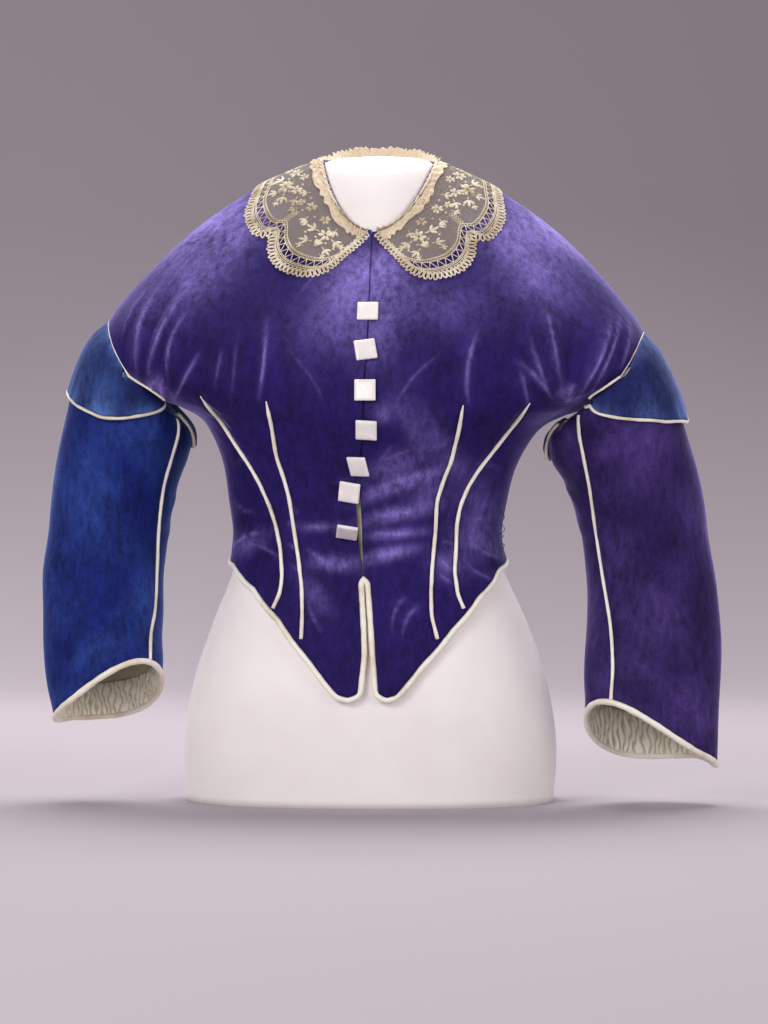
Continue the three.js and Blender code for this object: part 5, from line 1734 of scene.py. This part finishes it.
# Cotton thread, cream gone yellow in places, twisted and so faintly ribbed.
lace_thread, tree, surface = new_material(
    "cream_cotton_lace", Roughness=0.8, Sheen_Weight=0.3, Sheen_Roughness=0.5
)
place = node(tree, "TexCoord").outputs["Object"]
aged = node(tree, "TexNoise", {"Scale": 35.0, "Detail": 5.0, "Roughness": 0.65}, Vector=place)
tint = node(tree, "ValToRGB", Fac=aged.outputs["Fac"])
stops = tint.color_ramp.elements
stops[0].position, stops[0].color = 0.36, linear("#b39f7c")
stops[1].position, stops[1].color = 0.62, linear("#e6dac2")
wired(surface, Base_Color=tint.outputs["Color"])
twist = node(tree, "TexNoise", {"Scale": 1500.0, "Detail": 2.0}, Vector=place)
raised = node(tree, "Bump", {"Strength": 0.6, "Distance": 0.0004}, Height=twist.outputs["Fac"])
wired(surface, Normal=raised.outputs["Normal"])

# The net: six-sided meshes of fine thread, 1.1 mm across, open between the threads.
MESH = 1.1
net, tree, surface = new_material("cream_cotton_net", Roughness=0.85, Base_Color=linear("#a09384"))
place = node(tree, "TexCoord").outputs["UV"]
cells = node(tree, "TexVoronoi",
             {"feature": "DISTANCE_TO_EDGE", "Scale": 1000 / MESH, "Randomness": 0.25}, Vector=place)
thread = node(tree, "Math", {"operation": "LESS_THAN"}, _0=cells.outputs["Distance"], _1=0.15)
wired(surface, Alpha=thread.outputs[0])


def collar_place(around, share):
    """Turn and row of a place on the collar: around is -1 and 1 at the closure and 0 behind, and share is
    0 at the neck and 1 at the outer edge."""
    around = np.asarray(around, float)
    knot = KNOTS * (1 - np.abs(around))
    neck, edge, low = (spline(COLLAR[name], knot) for name in ("neck", "edge", "row"))
    turn = radians(neck + (edge - neck) * share)
    return np.where(around < 0, -turn, turn), NECK_ROW - 0.05 + (low - NECK_ROW + 0.05) * share


def on_collar(around, share, height=0.0):
    """Point of the collar, height above its middle, with its normal."""
    turn, row = collar_place(around, share)
    normal = body_normal(turn, row)
    return body(turn, row) + normal * (COLLAR_LIFT + np.asarray(height))[..., None], normal


AROUND = np.linspace(-1, 1, 3001)
outer_edge, _ = on_collar(AROUND, np.ones(len(AROUND)))
neck_edge, _ = on_collar(AROUND, np.zeros(len(AROUND)))
edge_length = np.concatenate([[0], np.cumsum(np.linalg.norm(np.diff(outer_edge, axis=0), axis=1))])
collar_width = np.linalg.norm(outer_edge - neck_edge, axis=1)


def inward(around, distance):
    """Share of the place a distance in millimetres inside the outer edge."""
    return 1 - distance / np.interp(around, AROUND, collar_width)


def along_edge(spacing, start=0.0):
    """Places around the collar at an even spacing along its outer edge."""
    length = edge_length[-1] - 2 * start
    count = int(length / spacing)
    return np.interp(start + (np.arange(count) + 0.5) * length / count, edge_length, AROUND)


def lay(around, share, pattern, faces, spin=0.0, size=1.0):
    """Points and faces of copies of a small flat pattern laid on the collar: along the edge in x, inwards
    in y and up in z. Each copy is turned by spin and scaled by size, and its points are carried over the
    surface by the surface's own slopes at its middle."""
    around, share = np.broadcast_arrays(np.asarray(around, float), share)
    turn, row = collar_place(around, share)
    point = body(turn, row)
    by_turn = (body(turn + 0.01, row) - body(turn - 0.01, row)) / 0.02
    by_row = (body(turn, row + 0.02) - body(turn, row - 0.02)) / 0.04
    ahead, _ = on_collar(np.clip(around + 0.002, -1, 1), share)
    behind, _ = on_collar(np.clip(around - 0.002, -1, 1), share)
    normal = body_normal(turn, row)
    east = unit(ahead - behind)
    north = unit(np.cross(normal, east))
    spin, size = np.broadcast_to(spin, turn.shape)[:, None], np.broadcast_to(size, turn.shape)[:, None]
    x = (pattern[:, 0] * np.cos(spin) - pattern[:, 1] * np.sin(spin)) * size
    y = (pattern[:, 0] * np.sin(spin) + pattern[:, 1] * np.cos(spin)) * size
    step = x[..., None] * east[:, None] + y[..., None] * north[:, None]
    aa, bb, ab = (np.sum(p * q, -1)[:, None] for p, q in ((by_turn,) * 2, (by_row,) * 2, (by_turn, by_row)))
    a, b = np.einsum("ijk,ik->ij", step, by_turn), np.einsum("ijk,ik->ij", step, by_row)
    det = aa * bb - ab**2
    turn = turn[:, None] + (a * bb - b * ab) / det
    row = np.minimum(row[:, None] + (b * aa - a * ab) / det, NECK_ROW)
    points = body(turn, row) + body_normal(turn, row) * (COLLAR_LIFT + pattern[:, 2] * size)[..., None]
    start = (np.arange(len(around)) * len(pattern))[:, None, None]
    return points.reshape(-1, 3), [(f[None] + start).reshape(-1, f.shape[1]) for f in faces]


def gathered(shapes):
    """One set of points and faces from several."""
    points = np.concatenate([shape[0] for shape in shapes])
    starts = np.cumsum([0] + [len(shape[0]) for shape in shapes])
    faces = [f + start for (_, parts), start in zip(shapes, starts) for f in parts]
    return points, faces


def ring_pattern(half_x, half_y, band, height=0.45, around=14):
    """An oval ring of raised thread: a band of four-sided section round an eyelet."""
    angle = np.linspace(0, 2 * pi, around, endpoint=False)
    section = [(0, -height), (0, 0.2 * height), (0.5, height), (1, 0.2 * height), (1, -height)]
    s, z = (np.tile(column, around) for column in zip(*section))
    count = len(section)
    angle = np.repeat(angle, count)
    x, y = (half_x - band * (1 - s)) * np.cos(angle), (half_y - band * (1 - s)) * np.sin(angle)
    k, j = np.divmod(np.arange(around * count), count)
    k, next_k, next_j = k * count, (k + 1) % around * count, (j + 1) % count
    return np.column_stack([x, y, z]), [np.stack([k + j, k + next_j, next_k + next_j, next_k + j], -1)]


def leaf_pattern(length, width, height=0.6, away=0.0):
    """A pointed leaf or petal that swells in the middle and starts a distance away from the origin."""
    share = np.linspace(0, 1, 7)
    half = width / 2 * np.sin(pi * share) ** 0.7
    outline = np.column_stack([np.append(half, -half[5:0:-1]), np.append(share, share[5:0:-1]) * length])
    middle = outline.mean(0)
    inner = middle + (outline - middle) * 0.55
    n = len(outline)
    points = np.column_stack([np.concatenate([outline, outline, inner]), np.repeat([-0.3, 0.15, height], n)])
    k = np.arange(n)
    return points + [0, away, 0], [corners(3, n, True), 2 * n + k[None], k[None, ::-1]]


def thread_along(around, share, radius, height=0.0, sides=6):
    """Points and faces of a thread through places of the collar, closed at its ends."""
    point, normal = on_collar(around, share, height)
    rings = rings_round(point, unit(np.gradient(point, axis=0)), normal, radius, sides)
    last = len(rings) - sides
    k = np.arange(sides)[None]
    return rings, [corners(len(point), sides, True)[:, ::-1], k, last + k[:, ::-1]]


# The net, from the neck to the inner arch.
around = np.linspace(-0.985, 0.985, 361)
inner = np.clip(inward(around, ARCH - 1), 0.1, 1)
share = inner * np.linspace(0, 1, 31)[:, None]
net_grid, _ = on_collar(np.broadcast_to(around, share.shape), share)
collar_net = add_mesh("lace_net", net_grid, [corners(*share.shape)], [net], lengths(net_grid).reshape(-1, 2))
neckline = [front_pieces[-1], front_pieces[1], back]
declared(collar_net, "lace", "lace_collar", flat=(0.5, 0.09), area=0.02, held="draped", rests_on=neckline)

# The edge: oval loops side by side, each on the next one's flank, and two cords inside them.
LOOP_SPACING = 4.2
RING_SPACING = 3.3
BAR_SPACING = 3.9
places = along_edge(LOOP_SPACING, 2)
number = np.arange(len(places))
loop_share = inward(places, 4.4 + 0.25 * np.sin(2.3 * number))
edge_shapes = [
    lay(places, loop_share, *ring_pattern(2.35, 4.5, 1.45), spin=0.13 * np.sin(1.7 * number),
        size=1 + 0.05 * np.sin(3.1 * number)),
    lay(places, inward(places, 6.4), *ring_pattern(1.3, 1.9, 0.75, 0.7, 10)),
]
around = np.linspace(-0.995, 0.995, 900)
for distance, radius in ((TAPE - 1.6, 0.5), (TAPE - 0.2, 0.55), (TAPE + 0.9, 0.4)):
    edge_shapes.append(thread_along(around, np.clip(inward(around, distance), 0.06, 1), radius, 0.1))

# The arches: two cords with tiny rings between them, and bars that zigzag out to the edge.
arch_shapes = []
first = AROUND[collar_width > ARCH + 14][0]
around = np.linspace(first, -first, 800)
for distance, radius in ((BARS, 0.42), (ARCH, 0.42)):
    arch_shapes.append(thread_along(around, inward(around, distance), radius))
start = np.interp(first, AROUND, edge_length)
places = along_edge(RING_SPACING, start)
arch_shapes.append(lay(places, inward(places, (BARS + ARCH) / 2), *ring_pattern(1.35, 1.35, 0.55, 0.35, 10)))
places = along_edge(BAR_SPACING, start)
for k in range(len(places) - 1):
    bar = np.linspace(0, 1, 4)
    ends = (TAPE + 0.6, BARS - 0.2) if k % 2 else (BARS - 0.2, TAPE + 0.6)
    spots = places[k] + (places[k + 1] - places[k]) * bar * 0.96
    arch_shapes.append(thread_along(spots, inward(spots, ends[0] + (ends[1] - ends[0]) * bar), 0.38, 0.1, 5))

# Between the lobes a line of eyelets runs from each notch towards the neck.
NOTCHES = (9.2, 14.6, 19)
for side in (-1, 1):
    for notch in NOTCHES:
        at = side * (1 - notch / KNOTS)
        depth = np.linspace(ARCH + 2, ARCH + 15, 5)
        for shift in (-0.0055, 0.0055):
            spots = np.full(len(depth), at) + shift
            arch_shapes.append(lay(spots, inward(spots, depth), *ring_pattern(1.6, 1.6, 0.6, 0.4, 10)))

# Sprigs on the net, in each lobe the same kinds in a slightly other order: F is a flower with a ring for
# its eye, B a bell, L a pair of leaves on a stem, D a dot. knot and share place it, spin is in degrees.
SPRIGS = """
kind knot share spin size
F 6 0.40 10 1
L 5.1 0.43 70 1
L 6.9 0.43 -70 1
B 6 0.60 0 1.1
L 5.3 0.61 60 0.9
L 6.7 0.61 -60 0.9
D 4.7 0.56 0 1
D 7.3 0.56 0 1
D 5.55 0.51 0 1
D 6.45 0.51 0 1
F 6.9 0.25 30 0.75
L 5.6 0.27 20 0.8
D 6.2 0.30 0 1
D 7.7 0.34 0 1
F 8.6 0.33 0 0.8
L 8.1 0.46 30 0.8
D 8.9 0.47 0 1
F 11.9 0.50 20 1.15
L 11.2 0.57 60 1
L 12.7 0.56 -50 1
L 11.9 0.63 0 0.9
F 11 0.38 0 0.85
L 10.3 0.44 40 0.9
F 12.8 0.36 0 0.95
L 13.5 0.44 -40 0.9
D 10.6 0.56 0 1
D 11.3 0.47 0 1
D 12.5 0.45 0 1
D 13.3 0.57 0 1
F 11.8 0.25 15 0.7
L 10.2 0.28 -20 0.8
D 11.1 0.29 0 1
D 12.6 0.27 0 1
F 14.6 0.28 15 0.8
L 13.9 0.29 10 0.8
F 17 0.46 15 1.05
L 16.1 0.48 60 1
L 17.9 0.48 -60 1
B 17 0.62 0 1
L 16.2 0.30 30 0.8
D 15.6 0.52 0 1
D 18.4 0.52 0 1
D 17 0.30 0 1
F 19 0.28 0 0.8
F 20.6 0.44 0 1.05
L 19.8 0.48 60 1
L 21.4 0.46 -60 1
B 20.6 0.61 0 1
L 20.4 0.28 -30 0.8
D 19.7 0.60 0 1
D 21.5 0.60 0 1
F 21.7 0.27 0 0.8
L 4.4 0.50 90 0.7
L 7.7 0.48 -60 0.7
F 9.7 0.40 0 0.6
L 9.6 0.53 -30 0.7
L 14.2 0.50 -30 0.7
L 13.9 0.36 30 0.6
L 12 0.42 0 0.6
L 11.1 0.66 40 0.6
L 12.9 0.66 -40 0.6
L 5.2 0.70 60 0.6
L 6.8 0.70 -60 0.6
L 15.3 0.44 40 0.7
L 18.8 0.42 -40 0.7
L 17.6 0.34 -30 0.7
L 19.2 0.40 60 0.6
D 8.3 0.26 0 1
D 9.4 0.28 0 1
D 14.2 0.40 0 1
D 16.4 0.62 0 1
D 17.7 0.62 0 1
D 10 0.50 0 1
"""
SPRIG_SCALE = 1.3
# The parts of each kind: a small flat pattern, and how far it is turned from the sprig's own direction.
SPRIG_PARTS = {
    "F": [(leaf_pattern(3.9, 2.5, 0.5, 1.4), k * pi / 3 + 0.1 * (-1) ** k) for k in range(6)]
    + [(ring_pattern(1.9, 1.9, 0.85, 0.75, 12), None)],
    "B": [(leaf_pattern(long, 2.4, 0.55), pi + bend) for bend, long in ((-0.55, 5.0), (0, 6.2), (0.55, 5.0))]
    + [(ring_pattern(1.3, 1.0, 0.55, 0.7, 10), None)],
    "L": [(leaf_pattern(long, 2.1, 0.5, 0.4), bend) for bend, long in ((-0.75, 5.5), (0, 7.0), (0.75, 5.5))]
    + [(leaf_pattern(4.0, 0.9, 0.35, -3.6), 0)],
    "D": [(leaf_pattern(1.8, 1.9, 0.6, -0.9), None)],
}
sprig_shapes = []
for side in (-1, 1):
    for line in SPRIGS.strip().splitlines()[1:]:
        kind = line.split()[0]
        knot, deep, spin, size = (float(number) for number in line.split()[1:])
        for pattern, bend in SPRIG_PARTS[kind]:
            turn = 0.0 if bend is None else bend - side * radians(spin)
            shape = lay([side * (1 - knot / KNOTS)], [deep], *pattern, spin=turn, size=SPRIG_SCALE * size)
            sprig_shapes.append(shape)

for name, shapes in (("lace_edge", edge_shapes), ("lace_arches", arch_shapes), ("lace_sprigs", sprig_shapes)):
    declared(add_mesh(name, *gathered(shapes), [lace_thread]), "lace")


# ---- The neck band and frill ---------------------------------------------------------------------
# The collar is gathered onto a narrow band of closer lace at the neck, with a frill that stands up
# behind. Both are puckered by hand, more in some places than in others.

BAND = 12.0
BAND_WALL = 0.9
NECK_LENGTH = 330
dense_lace, tree, surface, place, _ = mottled(
    "gathered_cream_lace", "#c2a988", "#e6d6bc", {"Scale": 28.0, "Detail": 3.0}, Roughness=0.8, Sheen_Weight=0.3
)
holes = node(tree, "TexVoronoi", {"Scale": 480.0}, Vector=place)
worked = node(tree, "Math", {"operation": "GREATER_THAN"}, _0=holes.outputs["Distance"], _1=0.2)
wired(surface, Alpha=worked.outputs[0])
lumpy = node(tree, "Bump", {"Strength": 0.7, "Distance": 0.0008}, Height=holes.outputs["Distance"])
wired(surface, Normal=lumpy.outputs["Normal"])

around = np.linspace(-0.992, 0.992, 1401)
distance = np.linspace(0, BAND, 21)[:, None]
drawn = 1 + 0.12 * np.sin(around * 95 + 2 * np.sin(around * 31)) + 0.1 * np.sin(around * 23)
share = np.minimum(distance * drawn / np.interp(around, AROUND, collar_width), 0.55)
neck_length = NECK_LENGTH * (around + 1) / 2
pucker = (0.7 * np.sin(neck_length / 0.95 + 1.6 * np.sin(neck_length / 5) + distance / 2.2)
          + 0.5 * np.sin(neck_length / 2.3 - distance + 2 * np.sin(neck_length / 9)))
pucker = pucker * (0.6 + 0.4 * np.sin(neck_length / 13))
flat_end = smooth(distance, 0, 2.5) * smooth(BAND - distance, 0, 2)
height = 0.8 * pucker * (0.3 + flat_end)
grid_around = np.broadcast_to(around, share.shape)
point, normal = on_collar(grid_around, share, 0.2 + 0 * share)
# It wraps over the neck edge: its first rows drop to the inside of the velvet.
over = np.clip(1 - distance / 2.2, 0, 1)
turn, _ = collar_place(grid_around, share)
axis_out = np.stack([np.sin(turn), -np.cos(turn), 0 * turn], -1)
point = point - normal * (5.0 * over**1.5)[..., None] - axis_out * (1.8 * over)[..., None]
point[..., 2] += 0.8 * np.sin(pi * over)
band = cloth("lace_neck_band", point, normal, height, [dense_lace, dense_lace], lengths(point), wall=BAND_WALL)
declared(band, "lace", flat=(0.36, 0.014), held="gathered", rests_on=neckline)

FRILL_HEIGHT = 10
FRILL_WAVES = 64
FRILL_WALL = 0.8
around = np.linspace(radians(4), 2 * pi - radians(4), FRILL_WAVES * 16 + 1)
turn = around - 2 * pi * (around > pi)
share = np.linspace(0, 1, 13)[:, None]
foot, normal = body(turn, NECK_ROW), body_normal(turn, NECK_ROW)
outward = np.stack([np.sin(turn), -np.cos(turn), 0 * turn], -1)
falling = smooth(np.cos(turn), -0.98, -0.1)[:, None]  # in front it lies back over the band
upward = unit(np.array([0, 0, 1]) * (1 - 0.5 * falling) + outward * (0.2 + falling)) * (1 - 0.45 * falling)
wander = FRILL_WAVES * around + 1.5 * np.sin(5 * around) + 0.9 * np.sin(11 * around + 1)
wave = (0.35 + 0.9 * share) * np.sin(wander + 0.9 * share) * (0.7 + 0.3 * np.sin(17 * around))
wave = wave + 0.6 * share * np.sin(9 * around) + 0.3 * np.sin(2.3 * wander - 4 * share)
rise = share * FRILL_HEIGHT * (0.94 + 0.1 * np.sin(13 * around + np.sin(29 * around)))
rise = rise - 0.25 * np.abs(np.sin(wander / 2)) * (share == 1) + 0.6
grid = foot + normal * ((VELVET_WALL - FRILL_WALL) / 2 + wave)[..., None] + upward * rise[..., None]
out = np.broadcast_to(normal, grid.shape)
frill = cloth("lace_neck_frill", grid, out, 0 * wave, [dense_lace, dense_lace], lengths(grid), wall=FRILL_WALL)
declared(frill, "lace", "neck_frill", flat=(0.36, 0.01), held="gathered", rests_on=neckline)


# ---- The buttons ---------------------------------------------------------------------------------
# Seven square buttons of mother of pearl with their edges taken off, sewn on through shanks behind, so
# that some hang askew.

BUTTON_SIDE = 18.5
BUTTON_THICKNESS = 3.2
BUTTON_LIFT = 0.7
BUTTON_BEVEL = 1.1
BUTTONS = table("""
x    z     spin swing nod
5.8  432   0    0     0
5.4  398   10   6     0
5.4  364.5 0    0     0
6.1  332   -2   -4    4
0    302   12   -24   8
-7.7 277.5 -8   -6    3
-9.7 242   -10  -4    50
""")

# Mother of pearl: white with a grey cast, drifting to pink and green in broad soft bands.
pearl, tree, surface = new_material(
    "mother_of_pearl", Roughness=0.22, IOR=1.55, Coat_Weight=0.5, Coat_Roughness=0.12,
    Subsurface_Weight=0.15, Subsurface_Scale=0.002,
)
place = node(tree, "TexCoord").outputs["Object"]
drift = node(tree, "TexNoise", {"Scale": 55.0, "Detail": 2.0, "Distortion": 1.2}, Vector=place)
bands = node(tree, "ValToRGB", Fac=drift.outputs["Fac"])
stops = bands.color_ramp.elements
stops[0].position, stops[0].color = 0.3, linear("#e6e6e2")
stops[1].position, stops[1].color = 0.7, linear("#fbf7ef")
stops.new(0.55).color = linear("#f1e8e4")
wired(surface, Base_Color=bands.outputs["Color"])
ripples = node(tree, "TexNoise", {"Scale": 260.0, "Detail": 2.0}, Vector=place)
cut = node(tree, "Bump", {"Strength": 0.15, "Distance": 0.0003}, Height=ripples.outputs["Fac"])
wired(surface, Normal=cut.outputs["Normal"])


def turned(nod, swing, spin):
    """Rotation by spin in the plane, then swing about the upright and nod about the cross axis."""
    (a, b, c), (d, e, f) = (np.cos([nod, swing, spin]), np.sin([nod, swing, spin]))
    about_x = np.array([[1, 0, 0], [0, a, -d], [0, d, a]])
    about_y = np.array([[b, 0, e], [0, 1, 0], [-e, 0, b]])
    about_z = np.array([[c, -f, 0], [f, c, 0], [0, 0, 1]])
    return about_x @ about_y @ about_z


RIM = 24  # points round a button


def rounded_square(half, corner):
    """Outline of a square with its corners rounded: a quarter of it, turned four times."""
    angle = np.linspace(0, pi / 2, RIM // 4)
    quarter = half - corner + corner * np.stack([np.cos(angle), np.sin(angle)], -1)
    quarters = [turned(0, 0, -pi / 2 * k)[:2, :2] for k in range(4)]
    return np.concatenate([quarter @ quarter_turn for quarter_turn in quarters])


for k, (x, z, *angles) in enumerate(zip(*BUTTONS.values())):
    spin, swing, nod = radians(angles)
    row = crossing(lambda at, z=z: spline(BODY["front"], at) - z, 1, NECK_ROW)
    turn = turn_at(x - LEAN * max(z - WAIST, 0), row)
    normal = body_normal(turn, row)
    half, thick = BUTTON_SIDE / 2, BUTTON_THICKNESS / 2
    tipped = half * (abs(np.sin(swing)) + abs(np.sin(nod)))
    middle = body(turn, row) + normal * (VELVET_WALL + BUTTON_LIFT + thick + tipped)
    across = unit(np.cross([0, 0, 1], normal))
    axes = np.stack([across, np.cross(normal, across), normal], 1) @ turned(nod, swing, spin)
    # Each ring's half breadth, the radius of its corners and its level.
    layers = [(half - BUTTON_BEVEL, 0.9, -thick), (half - 0.3, 1.0, -thick + 0.35), (half, 1.1, -thick + 0.8),
              (half, 1.1, 0.2), (half - 0.25, 1.0, 0.75), (half - BUTTON_BEVEL, 0.9, thick - 0.25),
              (half - 1.9, 0.8, thick - 0.05), (half - 4.5, 0.7, thick)]
    rings = [np.column_stack([rounded_square(wide, bend), np.full(RIM, level)]) for wide, bend, level in layers]
    rim = np.arange(RIM)[None]
    faces = [corners(len(layers), RIM, True), (len(layers) - 1) * RIM + rim, rim[:, ::-1]]
    button = add_mesh(f"pearl_button_{k + 1}", np.concatenate(rings) @ axes.T + middle, faces, [pearl])
    declared(button, "pearl", f"button_{k + 1}")


# ---- The loose stitches --------------------------------------------------------------------------
# A few dark silk stitches have worked loose from the wearer's left side seam at the waist.

silk_thread, tree, surface = new_material("dark_silk_thread", Base_Color=linear("#15102c"), Roughness=0.5)
# Each thread: the turn in degrees and height where it leaves the cloth and where it goes back in, and
# how far it stands out between.
STITCHES = table("""
turn0 z0  turn1 z1  out
76    262 82    252 3.2
80    250 84    240 3.6
79    240 86    236 2.6
83    231 80    226 3.0
""")
THREAD = 0.3
THREAD_SIDES = 6
THREAD_PLACES = 14
threads = []
for turn0, z0, turn1, z1, out in zip(*STITCHES.values()):
    share = np.linspace(0, 1, THREAD_PLACES)
    turn, row = radians(turn0 + (turn1 - turn0) * share), height_row(z0 + (z1 - z0) * share)
    normal = body_normal(turn, row)
    stand = VELVET_WALL + 0.2 + out * np.sin(pi * share)
    path = body(turn, row) + normal * stand[:, None]
    rings = rings_round(path, unit(np.gradient(path, axis=0)), normal, THREAD, THREAD_SIDES)
    k = np.arange(THREAD_SIDES)[None]
    last = len(rings) - THREAD_SIDES
    threads.append((rings, [corners(THREAD_PLACES, THREAD_SIDES, True), k[:, ::-1], last + k]))
declared(add_mesh("loose_stitches", *gathered(threads), [silk_thread]), "velvet_purple")
